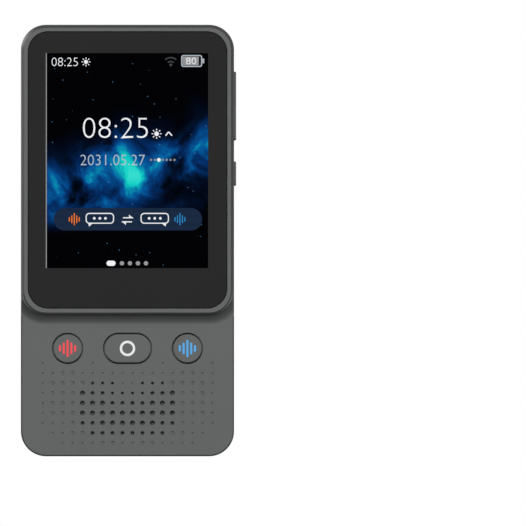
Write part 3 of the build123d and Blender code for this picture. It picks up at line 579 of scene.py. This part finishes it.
def dress(made, name, materials, body, slot, *replaced):
    """Smooth a finished form, keep its hard edges, and let it stand for a node of the model."""
    made.name = made.data.name = name
    weld(made.data, WELD * MM)
    for material in materials:
        made.data.materials.append(material)
    made.data.shade_smooth()
    made.data.set_sharp_from_angle(angle=SHARP_FROM)
    weighted = made.modifiers.new("even_normals", "WEIGHTED_NORMAL")
    weighted.keep_sharp = True
    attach(made, body)
    if replaced:
        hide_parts(*replaced)


# ---- sections of the shells

HALF_HEIGHT = BODY_HEIGHT / 2
CORNER_STEPS = 12


def body_section(y, inset, width_loss=0.0, height_loss=0.0, corner_gain=0.0):
    """The body's outline at depth y, smaller by inset all round and by the losses across."""
    width, height = BODY_WIDTH - 2 * inset - width_loss, BODY_HEIGHT - 2 * inset - height_loss
    corner = BODY_CORNER - inset + corner_gain
    return y, rounded_outline(0, HALF_HEIGHT, width, height, corner, CORNER_STEPS)


def roll(inset, steps):
    """Sections of the quarter ellipse from the sides to the flat of the back."""
    sections = []
    for step in range(steps + 1):
        angle = radians(90 * step / steps)
        depth, inward = ROLL_Y + (BACK_Y - inset - ROLL_Y) * sin(angle), 1 - cos(angle)
        side_loss, end_loss = 2 * SIDE_ROLL * inward, 2 * END_ROLL * inward
        sections.append(body_section(depth, inset, side_loss, end_loss, ROLL_CORNER_GAIN * inward))
    return sections


def circle(x, z, radius, steps=48):
    """Points of a circle."""
    angles = [2 * pi * k / steps for k in range(steps)]
    return [(x + radius * cos(angle), z + radius * sin(angle)) for angle in angles]


def prism(outline, y_from, y_to):
    """Sections of a straight solid between two depths."""
    return [(y_from, outline), (y_to, outline)]


def slot_outline(x, z, width, height, steps=12):
    """Points of a rounded rectangle whose short ends are half circles."""
    corner = min(width, height) / 2.0001  # a little under half, as in the bars
    return rounded_outline(x, z, width, height, corner, steps)


# ---- front shell

SEAM_BEVEL = 0.15  # both shells draw in by this much at the seam between them
GLASS_CENTRE_Z = 76.7
POCKET_WIDTH, POCKET_HEIGHT, POCKET_CORNER = 53.5, 74.3, 5.5
BAY_CENTRE_Z, BAY_WIDTH, BAY_HEIGHT, BAY_CORNER = 77.0, 53.9, 74.0, 5.1
OPENING_CENTRE_Z, OPENING_WIDTH, OPENING_HEIGHT, OPENING_CORNER = 76.9, 50.4, 67.3, 0.3
DECK_INNER_Y, LEDGE_Y, LEDGE_BACK_Y, BAY_BACK_Y = -5.0, -7.6, -6.4, -3.0
CUT_FRONT_Y = -10.0  # cutters reach this far, clear of the platform's face
STEP_Z, PLATFORM_SINK = 38.0, 0.6
LIP_INSET, LIP_FOOT_INSET, PLATFORM_STEPS = 0.85, 0.5, 8
RAMP_RUN, RAMP_TOP_Y, RAMP_STEPS = 3.0, -8.1, 10
RAMP_FOOT_Y = DECK_Y + 0.003  # just under the deck, so that the ramp runs out without an edge
RAMP_BEHIND_PLATFORM = 20.0  # how far past mid-height the ramp's solid runs inside the platform
HAIR = 0.01  # keeps faces of joined solids from lying in one plane
KEY_HOLE_RADIUS, HOME_KEY_STRAIGHT = 4.2, 4.8  # moulded edge of the holes included
RIM_ROUND, RIM_STEPS = 0.5, 6

# Faces of the rim and the lip that get painted shade, a grey that darkens by depth. The key holes and the
# grille lie inside these limits and keep the plain grey.
RIM_SHADE_FROM_X, RIM_SHADE_BELOW_Z = 24.0, 2.6
LIP_SHADE_FROM_POCKET = 0.3


def rim_sections():
    """Sections of the deck's rounded rim, from the seam to the deck."""
    sections = [body_section(SEAM_Y, SEAM_BEVEL), body_section(SEAM_Y - SEAM_BEVEL, 0)]
    for step in range(RIM_STEPS + 1):
        angle = radians(90 * step / RIM_STEPS)
        depth = DECK_Y + RIM_ROUND * (1 - sin(angle))
        sections.append(body_section(depth, RIM_ROUND * (1 - cos(angle))))
    return sections


def side_inset(y):
    """How far the platform's sides have drawn in at depth y."""
    return LIP_INSET * max(0.0, (DECK_Y - y) / (DECK_Y - LIP_Y)) ** 1.5


def platform_section(y):
    """The raised platform at depth y."""
    inset = side_inset(y) + HAIR
    foot_rise = max(0.0, (RAMP_TOP_Y - y) / (RAMP_TOP_Y - LIP_Y))
    foot = STEP_Z + LIP_FOOT_INSET * foot_rise**1.3 + HAIR
    height = BODY_HEIGHT - inset - foot
    width, corner = BODY_WIDTH - 2 * inset, BODY_CORNER - inset
    return y, rounded_outline(0, foot + height / 2, width, height, corner, CORNER_STEPS)


def platform_sections():
    """Sections of the raised platform, from inside the deck up to its face."""
    sections = [platform_section(DECK_Y + PLATFORM_SINK)]
    for step in range(PLATFORM_STEPS + 1):
        sections.append(platform_section(DECK_Y + (LIP_Y - DECK_Y) * step / PLATFORM_STEPS))
    return sections


def ramp_section(y, run):
    """The platform's foot at depth y, grown by run at its lower edge, within the body's sides."""
    side = BODY_WIDTH / 2 - side_inset(y) - 2 * HAIR
    centre_x, centre_z = BODY_WIDTH / 2 - BODY_CORNER, STEP_Z + BODY_CORNER
    reach = BODY_CORNER + run
    last = asin(min(1.0, (side - centre_x) / reach))
    right = []
    for step in range(CORNER_STEPS + 1):
        angle = last * step / CORNER_STEPS
        right.append((centre_x + reach * sin(angle), centre_z - reach * cos(angle)))
    right.append((side, HALF_HEIGHT + RAMP_BEHIND_PLATFORM))
    left = [(-x, z) for x, z in reversed(right)]
    return y, right + left


def ramp_sections():
    """Sections of the hollowed ramp, a quarter ellipse from the deck up to the lip."""
    sections = [ramp_section(DECK_Y + PLATFORM_SINK, RAMP_RUN)]
    for step in range(RAMP_STEPS + 1):
        angle = radians(90 * step / RAMP_STEPS)
        depth = RAMP_FOOT_Y + (RAMP_TOP_Y - RAMP_FOOT_Y) * (1 - cos(angle))
        sections.append(ramp_section(depth, RAMP_RUN * (1 - sin(angle))))
    return sections


def beyond_pocket(x, z):
    """How far a place lies outside the rounded outline of the glass pocket."""
    across = abs(x) - (POCKET_WIDTH / 2 - POCKET_CORNER)
    up = abs(z - GLASS_CENTRE_Z) - (POCKET_HEIGHT / 2 - POCKET_CORNER)
    return hypot(max(across, 0.0), max(up, 0.0)) + min(max(across, up), 0.0) - POCKET_CORNER


def screen_cuts():
    """Solids that cut the inside, the display's bay, the glass pocket and the screen opening."""
    bay = rounded_outline(0, BAY_CENTRE_Z, BAY_WIDTH, BAY_HEIGHT, BAY_CORNER)
    pocket = rounded_outline(0, GLASS_CENTRE_Z, POCKET_WIDTH, POCKET_HEIGHT, POCKET_CORNER, CORNER_STEPS)
    opening = rounded_outline(0, OPENING_CENTRE_Z, OPENING_WIDTH, OPENING_HEIGHT, OPENING_CORNER)
    return [
        [body_section(0, WALL), body_section(DECK_INNER_Y, WALL)],
        prism(bay, BAY_BACK_Y, LEDGE_BACK_Y),
        prism(pocket, LEDGE_Y, CUT_FRONT_Y),
        prism(opening, 0, CUT_FRONT_Y),
    ]


def key_cuts():
    """Solids that cut the holes of the three front keys."""
    home_width, home_height = HOME_KEY_STRAIGHT + 2 * KEY_HOLE_RADIUS, 2 * KEY_HOLE_RADIUS
    outlines = [
        circle(-TALK_KEY_X, KEY_ROW_Z, KEY_HOLE_RADIUS, 64),
        circle(TALK_KEY_X, KEY_ROW_Z, KEY_HOLE_RADIUS, 64),
        slot_outline(0, KEY_ROW_Z, home_width, home_height, 24),
    ]
    return [prism(outline, 0, CUT_FRONT_Y) for outline in outlines]


def paint_shade_on_faces(mesh):
    """Give the faces of lip, ramp and rim the materials with painted shade, darker by depth."""
    plain, lip, ramp, rim = range(4)
    for face in mesh.polygons:
        x, y, z = face.center / MM
        face.material_index = plain
        if beyond_pocket(x, z) > LIP_SHADE_FROM_POCKET and LIP_Y + HAIR < y < DECK_Y - HAIR / 2:
            face.material_index = ramp if z < STEP_Z + BODY_CORNER else lip
        elif DECK_Y + HAIR < y < DECK_Y + RIM_ROUND:
            if abs(x) > RIM_SHADE_FROM_X or z < RIM_SHADE_BELOW_Z:
                face.material_index = rim


def front_shell():
    """Moulded front housing: rim, raised platform, hollowed ramp, pockets and grille."""
    made = closed_mesh("front", *loft([rim_sections()]))
    combine(made, [platform_sections()], "UNION")
    combine(made, [ramp_sections()], "UNION")
    for cut in screen_cuts():
        combine(made, [cut], "DIFFERENCE")
    combine(made, key_cuts(), "DIFFERENCE")
    combine(made, grille(), "DIFFERENCE")
    paint_shade_on_faces(made.data)
    return made


# Speaker grille: rows of dots from the top down, left half, mirrored for the right half.
# L, M and S are open holes; p and t are wide and tiny blind dimples.
GRILLE_ROWS = (
    "t....t...",
    "ttppttttt",
    "tppppSSSt",
    "tpppLMMSS",
    "tpppLLLMM",
    "tpppLLLLL",
    "tttpMMLLL",
    ".ttppMMMM",
    "..ttttppt",
)
GRILLE_PITCH, GRILLE_TOP_Z = 2.675, 24.95
HOLE_RADIUS = {"L": 0.66, "M": 0.52, "S": 0.39}
DIMPLE_RADIUS = {"p": 0.52, "t": 0.3}
DIMPLE_DEPTH, DIMPLE_DRAW = 0.25, 0.1  # a dimple narrows by its draw towards its floor
CUT_MARGIN = 0.5  # how far the cutters stand out of the deck


def grille_cutter(letter, x, z):
    """Sections of the solid that cuts one hole or dimple."""
    if letter in HOLE_RADIUS:
        outline = circle(x, z, HOLE_RADIUS[letter], 20)
        return prism(outline, DECK_INNER_Y + CUT_MARGIN, DECK_Y - CUT_MARGIN)
    mouth = circle(x, z, DIMPLE_RADIUS[letter], 16)
    floor = circle(x, z, DIMPLE_RADIUS[letter] - DIMPLE_DRAW, 16)
    return [(DECK_Y + DIMPLE_DEPTH, floor), (DECK_Y, mouth), (DECK_Y - CUT_MARGIN, mouth)]


def grille():
    """Solids that cut the grille's holes and dimples."""
    cutters = []
    for row, letters in enumerate(GRILLE_ROWS):
        z = GRILLE_TOP_Z - row * GRILLE_PITCH
        for column, letter in enumerate(letters):
            reach = (len(letters) - column - 0.5) * GRILLE_PITCH
            if letter != ".":
                cutters += [grille_cutter(letter, x, z) for x in (-reach, reach)]
    return cutters


# ---- rear shell

BACK_BEVEL, BACK_BEVEL_CORNER = 2.0, 4.0  # the flat of the back, inside its rolled edges
OUTER_ROLL_STEPS, INNER_ROLL_STEPS = 24, 8
BUMP_FOOT, BUMP_TOP, BUMP_RISE, BUMP_SINK, BUMP_STEPS = 11.0, 8.3, 1.8, 0.5, 16
INSIDE_FRONT_Y, CUT_BACK_Y = -8.0, 10.0  # cutters reach this far, clear of the shell
RECESS_RADIUS, RECESS_Y = 8.05, 7.3  # the camera ring's seat
CAMERA_BORE_RADIUS, CAMERA_BORE_Y = 5.2, 3.0
FINE_STEPS = 96

# The port stands in a step cut into the top end, with a pad behind it inside the shell.
PORT_X, PORT_Y, PORT_FLOOR_Z = 9.7, -0.82, 114.0
PORT_WIDTH, PORT_HEIGHT, PORT_HOLE_FROM_Z, PORT_HOLE_TO_Z = 9.24, 3.46, 111.0, 115.0
PAD_WIDTH, PAD_HEIGHT, PAD_CORNER, PAD_FRONT_Y, PAD_BACK_Y = 13.9, 3.0, 0.2, -3.35, 1.71
STEP_WIDTH, STEP_HEIGHT, STEP_CORNER, STEP_FRONT_Y, STEP_BACK_Y = 12.0, 10.0, 0.01, -2.9, 12.0

MIC_X, MIC_Y, MIC_RADIUS, MIC_FROM_Z, MIC_TO_Z = 19.0, -1.2, 0.6, -1.0, 3.0

# Middle and length of the slots for the volume key and the power key.
SIDE_SLOTS = ((93.8, 18.8), (75.7, 6.9))
SIDE_KEY_Y, SIDE_SLOT_RADIUS, SIDE_SLOT_FROM_X, SIDE_SLOT_TO_X = -1.2, 1.45, 25.0, 31.0
SIDE_SLOT_STEPS = 12
TINY = 1e-3


def camera_bump():
    """Sections of the soft round rise about the camera."""
    sections = [(BACK_Y - BUMP_SINK, circle(0, CAMERA_Z, BUMP_FOOT, FINE_STEPS))]
    for step in range(BUMP_STEPS + 1):
        radius = BUMP_FOOT - (BUMP_FOOT - BUMP_TOP) * step / BUMP_STEPS
        depth = BACK_Y + BUMP_RISE * (1 - cos(radians(180 * step / BUMP_STEPS))) / 2
        sections.append((depth, circle(0, CAMERA_Z, radius, FINE_STEPS)))
    return sections


def upright(outline, z_from, z_to):
    """A prism along z, given as sections along y: its outline's second value is the depth."""
    sections = []
    for y in sorted({round(y, 4) for _, y in outline}):
        across = [x for x, depth in outline if abs(depth - y) < TINY]
        low, high = min(across), max(across)
        if high - low < TINY:
            low, high = low - TINY, high + TINY
        sections.append((y, [(low, z_from), (high, z_from), (high, z_to), (low, z_to)]))
    return sections


def side_slot(z, length):
    """Sections of the slot in the right wall for a side key."""
    straight = length / 2 - SIDE_SLOT_RADIUS
    sections = []
    for step in range(SIDE_SLOT_STEPS + 1):
        angle = pi * step / SIDE_SLOT_STEPS
        y = SIDE_KEY_Y - SIDE_SLOT_RADIUS * cos(angle)
        reach = straight + SIDE_SLOT_RADIUS * sin(angle)
        inner, outer = SIDE_SLOT_FROM_X, SIDE_SLOT_TO_X
        outline = [(inner, z - reach), (outer, z - reach), (outer, z + reach), (inner, z + reach)]
        sections.append((y, outline))
    return sections


def rear_shell():
    """Rear housing: rolled edges, camera bump, cut for the port and openings for the keys."""
    outside = [body_section(SEAM_Y, SEAM_BEVEL), body_section(SEAM_Y + SEAM_BEVEL, 0)]
    outside += roll(0, OUTER_ROLL_STEPS)
    outside.append(body_section(BACK_Y, BACK_BEVEL, 2 * SIDE_ROLL, 2 * END_ROLL, BACK_BEVEL_CORNER))
    made = closed_mesh("rear", *loft([outside]))
    combine(made, [camera_bump()], "UNION")
    inside = [body_section(INSIDE_FRONT_Y, WALL)] + roll(WALL, INNER_ROLL_STEPS)
    combine(made, [inside], "DIFFERENCE")
    pad = rounded_outline(PORT_X, PORT_FLOOR_Z, PAD_WIDTH, PAD_HEIGHT, PAD_CORNER, 2)
    combine(made, [prism(pad, PAD_FRONT_Y, PAD_BACK_Y)], "UNION")

    recess = circle(0, CAMERA_Z, RECESS_RADIUS, FINE_STEPS)
    bore = circle(0, CAMERA_Z, CAMERA_BORE_RADIUS)
    step_middle = PORT_FLOOR_Z + STEP_HEIGHT / 2
    port_step = rounded_outline(PORT_X, step_middle, STEP_WIDTH, STEP_HEIGHT, STEP_CORNER, 2)
    port_hole = slot_outline(PORT_X, PORT_Y, PORT_WIDTH, PORT_HEIGHT)
    cuts = (
        [prism(recess, RECESS_Y, CUT_BACK_Y)],
        [prism(bore, CAMERA_BORE_Y, CUT_BACK_Y)],
        [prism(port_step, STEP_FRONT_Y, STEP_BACK_Y)],
        [upright(port_hole, PORT_HOLE_FROM_Z, PORT_HOLE_TO_Z)],
        [upright(circle(MIC_X, MIC_Y, MIC_RADIUS, 24), MIC_FROM_Z, MIC_TO_Z)],
        [side_slot(z, length) for z, length in SIDE_SLOTS],
    )
    for cut in cuts:
        combine(made, cut, "DIFFERENCE")
    return made


front_greys = [front_abs, lip_abs_painted_shade, ramp_abs_painted_shade, rim_abs_painted_shade]
dress(front_shell(), "front_housing", front_greys, "body", "graphite_plastic", "front_shell")
dress(rear_shell(), "rear_housing", [rear_abs_painted_shade], "body", "graphite_plastic", "rear_shell")

# ---- lens

LENS_BASE_Y, LENS_EDGE_Y, LENS_CROWN_Y, LENS_STEPS = 6.4, 7.2, 8.0, 16
PUPIL_BASE_Y, PUPIL_EDGE_Y, PUPIL_CROWN_Y, PUPIL_STEPS = 7.6, 7.9, 8.35, 12
DOME_END = 89  # degrees, a little short of the crown, so that the last ring isn't a point


def domed_lens(radius, base_y, edge_y, crown_y, steps):
    """A round lens on the camera's axis: a straight edge and a smooth dome."""
    sections = [(base_y, circle(0, CAMERA_Z, radius))]
    for step in range(steps + 1):
        angle = radians(DOME_END * step / steps)
        depth = edge_y + (crown_y - edge_y) * sin(angle)
        sections.append((depth, circle(0, CAMERA_Z, radius * cos(angle))))
    return closed_mesh("lens", *loft([sections]))


front_lens = domed_lens(LENS_RADIUS, LENS_BASE_Y, LENS_EDGE_Y, LENS_CROWN_Y, LENS_STEPS)
dress(front_lens, "camera_front_lens", [lens], "body", "lens_glass", "camera_lens")
# The small steep dome of the inner lens shows the light as one bright spot.
inner_dome = domed_lens(PUPIL_RADIUS, PUPIL_BASE_Y, PUPIL_EDGE_Y, PUPIL_CROWN_Y, PUPIL_STEPS)
dress(inner_dome, "camera_lens_pupil", [pupil], "body", "lens_glass")

# ---- screen and prints


def hollow(outer, inner):
    """One outline for a closed band between two outlines, with a hairline seam."""
    seam = 0.002  # as a share of the last side

    def run(outline):
        end = [a + (b - a) * seam for a, b in zip(outline[0], outline[-1])]
        return outline + [end]

    return run(outer) + run(inner)[::-1]


def arc(x, z, radius, width, start, end, steps=16):
    """Outline of a band along part of a circle, between two angles in degrees."""
    angles = [radians(start + (end - start) * k / steps) for k in range(steps + 1)]
    outer, inner = (
        [(x + reach * cos(angle), z + reach * sin(angle)) for angle in angles]
        for reach in (radius + width / 2, radius - width / 2)
    )
    return outer + inner[::-1]


def stroke(x_from, z_from, x_to, z_to, width):
    """Outline of a straight stroke between two places."""
    along = Vector((x_to - x_from, z_to - z_from))
    side = Vector((-along.y, along.x)).normalized() * width / 2
    start, end = Vector((x_from, z_from)), Vector((x_to, z_to))
    return [tuple(p) for p in (start - side, end - side, end + side, start + side)]


def sun(x, z, radius):
    """Outlines of a sun: a disc and eight rays."""
    disc, ray_start, ray_width = radius * 0.45, radius * 0.65, radius * 0.17
    outlines = [circle(x, z, disc, 24)]
    for ray in range(8):
        across, up = cos(pi * ray / 4), sin(pi * ray / 4)
        start = (x + ray_start * across, z + ray_start * up)
        end = (x + radius * across, z + radius * up)
        outlines.append(stroke(*start, *end, ray_width))
    return outlines


def speech_bubble(x, z, width, height, side):
    """Outlines of an empty speech bubble with three dots, its tail to one side."""
    line, corner, dot_radius, dot_pitch = 0.28, 1.0, 0.36, 1.5
    ring = hollow(
        rounded_outline(x, z, width, height, corner),
        rounded_outline(x, z, width - 2 * line, height - 2 * line, corner - line),
    )
    foot = z - height / 2
    corners = ((1.9, 0.1), (2.9, -0.75), (3.1, 0.1))
    tail = [(x + side * across, foot + up) for across, up in corners]
    dots = [circle(x + place * dot_pitch, z, dot_radius, 16) for place in (-1, 0, 1)]
    return [ring, tail] + dots


# Layers of the lit screen, counted outwards from the glass.
PICTURE_LAYER, MARK_LAYER, TOP_LAYER = 1, 2, 3


def lit(name, outlines, layer, material):
    """Flat lit shapes on the screen, in one of its layers."""
    front = GLASS_FRONT_Y - layer * INK
    return slabs(name, outlines, front, INK, material, "body")


def lit_digits(name, text, x_span, z_span, layer, material, thinner):
    """Digits fitted into a box on the screen, their strokes thinned by part of their size."""
    half_depth = 0.5
    curve = bpy.data.curves.new(name, "FONT")
    curve.body, curve.resolution_u = text, 4
    curve.extrude, curve.offset = half_depth, -thinner
    letters = new_object(name, curve)
    shaped = letters.evaluated_get(bpy.context.evaluated_depsgraph_get())
    flat = bpy.data.meshes.new_from_object(shaped)
    bpy.data.objects.remove(letters)
    weld(flat, GLYPH_WELD)
    across = [v.co.x for v in flat.vertices]
    up = [v.co.y for v in flat.vertices]
    wide = (x_span[1] - x_span[0]) / (max(across) - min(across))
    tall = (z_span[1] - z_span[0]) / (max(up) - min(up))
    front = GLASS_FRONT_Y - layer * INK
    points = [
        (
            x_span[0] + (v.co.x - min(across)) * wide,
            front + (half_depth - v.co.z) * INK,
            z_span[0] + (v.co.y - min(up)) * tall,
        )
        for v in flat.vertices
    ]
    faces = [list(face.vertices) for face in flat.polygons]
    return piece(name, points, faces, material, "body")


PICTURE_CENTRE_Z = PICTURE_BOTTOM_Z + PICTURE_HEIGHT / 2
EDGE_GLINT_WIDTH, EDGE_GLINT_X = 0.25, -PICTURE_WIDTH / 2 - 0.15

picture = rounded_outline(0, PICTURE_CENTRE_Z, PICTURE_WIDTH, PICTURE_HEIGHT, 0.1, 2)
lit("wallpaper", [picture], PICTURE_LAYER, wallpaper)
# Painted highlight: a thin lit grey line along the picture's left edge, the glint of the display's edge.
painted_edge_glint = rounded_outline(EDGE_GLINT_X, PICTURE_CENTRE_Z, EDGE_GLINT_WIDTH, PICTURE_HEIGHT, 0.05, 2)
lit("screen_painted_edge_glint", [painted_edge_glint], PICTURE_LAYER, lit_grey)

# Status bar along the top of the picture.
SIGNAL_X, SIGNAL_Z, SIGNAL_DOT_Z = 11.6, 104.6, 104.85
CELL_X, CELL_Z, CELL_WIDTH, CELL_HEIGHT, CELL_LINE = 17.2, 105.9, 5.6, 3.2, 0.3
lit_digits("status_time", "08:25", (-20.3, -13.3), (104.5, 106.8), MARK_LAYER, lit_white, 0.018)
lit("status_sun", sun(-11.1, 105.65, 1.2), MARK_LAYER, lit_white)
signal = [arc(SIGNAL_X, SIGNAL_Z, radius, 0.32, 48, 132) for radius in (1.15, 2.2)]
signal.append(circle(SIGNAL_X, SIGNAL_DOT_Z, 0.36, 16))
lit("signal_arcs", signal, MARK_LAYER, lit_dim)
battery_frame = hollow(
    rounded_outline(CELL_X, CELL_Z, CELL_WIDTH, CELL_HEIGHT, 0.6),
    rounded_outline(CELL_X, CELL_Z, CELL_WIDTH - 2 * CELL_LINE, CELL_HEIGHT - 2 * CELL_LINE, 0.35),
)
battery_nib = rounded_outline(20.3, CELL_Z, 0.5, 1.3, 0.2)
lit("battery_frame", [battery_frame, battery_nib], MARK_LAYER, lit_pale)
lit("battery_level", [rounded_outline(16.95, CELL_Z, 4.3, 2.3, 0.2)], MARK_LAYER, lit_grey)
lit_digits("battery_digits", "80", (15.7, 18.4), (105.0, 106.8), TOP_LAYER, lit_white, 0.01)

# Clock, date and the seven dots of the week with the third one lit.
WEEK_X, WEEK_Z, WEEK_PITCH = 6.3, 79.4, 1.05
lit_digits("clock", "08:25", (-11.95, 5.45), (85.17, 90.7), MARK_LAYER, lit_white, 0.02)
lit("clock_sun", sun(7.8, 86.4, 1.35), MARK_LAYER, lit_white)
rising = [stroke(10.2, 85.9, 11.05, 86.9, 0.34), stroke(11.05, 86.9, 11.9, 85.9, 0.34)]
lit("clock_rising_mark", rising, MARK_LAYER, lit_white)
lit_digits("date", "2031.05.27", (-12.6, 4.7), (77.96, 80.8), MARK_LAYER, lit_pale, 0.012)
days = [WEEK_X + WEEK_PITCH * day for day in range(7)]
today = days.pop(2)
lit("week_days", [circle(x, WEEK_Z, 0.3, 16) for x in days], MARK_LAYER, lit_grey)
lit("week_day_today", [circle(today, WEEK_Z, 0.5, 20)], MARK_LAYER, lit_white)

# The bar that names the two languages, with both left blank.
PILL_Z = 63.5
WAVE_PITCH, WAVE_BAR, WAVE_HEIGHTS = 0.66, 0.3, (1.2, 2.1, 3.3, 2.1, 1.2)
BUBBLE_Z, BUBBLE_WIDTH, BUBBLE_HEIGHT = PILL_Z + 0.25, 7.6, 2.9
lit("language_bar", [rounded_outline(0.1, PILL_Z, 39.8, 6.0, 2.99, 16)], MARK_LAYER, lit_panel)
for name, x, colour in (
    ("speaker_wave_orange", -14.25, lit_orange),
    ("speaker_wave_blue", 14.05, lit_blue),
):
    lit(name, bars(x, PILL_Z, WAVE_HEIGHTS, WAVE_PITCH, WAVE_BAR), TOP_LAYER, colour)
for name, x, side in (("left_language_place", -7.4, -1), ("right_language_place", 7.3, 1)):
    bubble = speech_bubble(x, BUBBLE_Z, BUBBLE_WIDTH, BUBBLE_HEIGHT, side)
    lit(name, bubble, TOP_LAYER, lit_white)
arrows = []
for side in (-1, 1):
    z = PILL_Z - 0.15 + side * 0.55
    arrows.append(stroke(side * 1.5, z, -side * 1.2, z, 0.3))
    arrows.append([(side * 1.55, z - side * 0.15), (side * 0.4, z + side * 0.85), (side * 0.4, z)])
lit("swap_arrows", arrows, TOP_LAYER, lit_white)

# Page marks along the bottom.
PAGE_Z = 51.7
page_dots = [circle(x, PAGE_Z, 0.58, 20) for x in (-1.47, 0.65, 2.8, 4.95)]
lit("page_mark_now", [rounded_outline(-4.4, PAGE_Z, 2.4, 1.4, 0.69)], MARK_LAYER, lit_white)
lit("page_marks", page_dots, MARK_LAYER, lit_grey)

# Marks printed on the keys.
KEY_MARK_HEIGHTS, KEY_MARK_PITCH, KEY_MARK_BAR = (1.75, 3.1, 4.6, 3.2, 1.8), 1.013, 0.57
HOME_RING_OUTER, HOME_RING_INNER = 2.08, 1.42


def printed(name, outlines, key, material):
    """Ink on the front of a key, moving with it."""
    return slabs(name, outlines, KEY_FRONT_Y - INK, INK, material, key)


for key, x, ink in (("talk_key_left", -TALK_KEY_X, red_ink), ("talk_key_right", TALK_KEY_X, blue_ink)):
    marks = bars(x, KEY_ROW_Z, KEY_MARK_HEIGHTS, KEY_MARK_PITCH, KEY_MARK_BAR)
    printed(key + "_mark", marks, key, ink)
home_ring = hollow(circle(0, KEY_ROW_Z, HOME_RING_OUTER), circle(0, KEY_ROW_Z, HOME_RING_INNER))
printed("home_key_mark", [home_ring], "home_key", white_ink)

# ---- camera and light

# Square on to the screen, in metres, with free room to the right of the device.
VIEW_WIDTH, VIEW_X, VIEW_Y, VIEW_Z = 0.14089, 0.0363, -0.7, 0.05178

camera = bpy.data.cameras.new("camera")
camera.type, camera.ortho_scale = "ORTHO", VIEW_WIDTH
viewer = new_object("camera", camera)
viewer.location = (VIEW_X, VIEW_Y, VIEW_Z)
viewer.rotation_euler = (radians(90), 0, 0)
bpy.context.scene.camera = viewer

SOFTBOX_SIZE, DEVICE_MIDDLE = 0.4, (0.0, 0.0, 0.06)


def softbox(name, place, power):
    """A square area light at a place in metres, turned towards the device."""
    light = bpy.data.lights.new(name, "AREA")
    light.size, light.energy = SOFTBOX_SIZE, power
    made = new_object(name, light)
    made.location = place
    aim = Vector(DEVICE_MIDDLE) - Vector(place)
    made.rotation_euler = aim.to_track_quat("-Z", "Y").to_euler()


softbox("front_light", (-0.08, -1.0, 0.42), 6.9)
softbox("right_light", (0.86, -0.4, 0.32), 3.2)
softbox("rear_light", (-0.58, 0.66, 0.38), 5.4)


def seen_directly(tree):
    """1 for rays from the camera and for reflected or refracted ones, 0 for diffuse light."""
    path = add(tree, "LightPath", {})
    mirrored = add(tree, "Math", {
        "operation": "MAXIMUM", 0: path.outputs["Is Camera Ray"], 1: path.outputs["Is Glossy Ray"],
    })
    seen = add(tree, "Math", {
        "operation": "MAXIMUM", 0: mirrored, 1: path.outputs["Is Transmission Ray"],
    })
    return seen


world = bpy.data.worlds.new("studio")
world.use_nodes = True
bpy.context.scene.world = world
sky = world.node_tree
sky.nodes.clear()
# White where it is seen, and a weak even fill for the surfaces that it lights.
strength = add(sky, "MapRange", {"To Min": 0.16, "To Max": 1.0, "Value": seen_directly(sky)})
white = add(sky, "Background", {"Color": linear("#FFFFFF"), "Strength": strength})
add(sky, "OutputWorld", {"Surface": white})

# The floor is half paper, half white light at the device, and all white further out, in metres.
WHITER_FROM, WHITE_FROM = 0.05, 0.5
floor_finish = bpy.data.materials.new("pale_floor")
floor_finish.use_nodes = True
ground = floor_finish.node_tree
ground.nodes.clear()
ground_place = add(ground, "TexCoord", {})
paper = add(ground, "BsdfDiffuse", {"Color": linear("#D8D8D8")})
glow = add(ground, "Emission", {"Color": linear("#FFFFFF"), "Strength": seen_directly(ground)})
from_device = add(ground, "VectorMath", {"operation": "LENGTH", 0: ground_place.outputs["Object"]})
whiteness = add(ground, "MapRange", {
    "interpolation_type": "SMOOTHSTEP", "From Min": WHITER_FROM, "From Max": WHITE_FROM, "To Min": 0.5,
    "To Max": 1.0, "Value": from_device,
})
blend = add(ground, "MixShader", {0: whiteness, 1: paper, 2: glow})
add(ground, "OutputMaterial", {"Surface": blend})
REACH = 3000.0  # millimetres of floor to each side
floor_corners = [(-REACH, -REACH, 0), (REACH, -REACH, 0), (REACH, REACH, 0), (-REACH, REACH, 0)]
floor = mesh_object("floor", floor_corners, [(0, 1, 2, 3)])
floor.data.materials.append(floor_finish)

bpy.context.scene.view_settings.view_transform = "Standard"
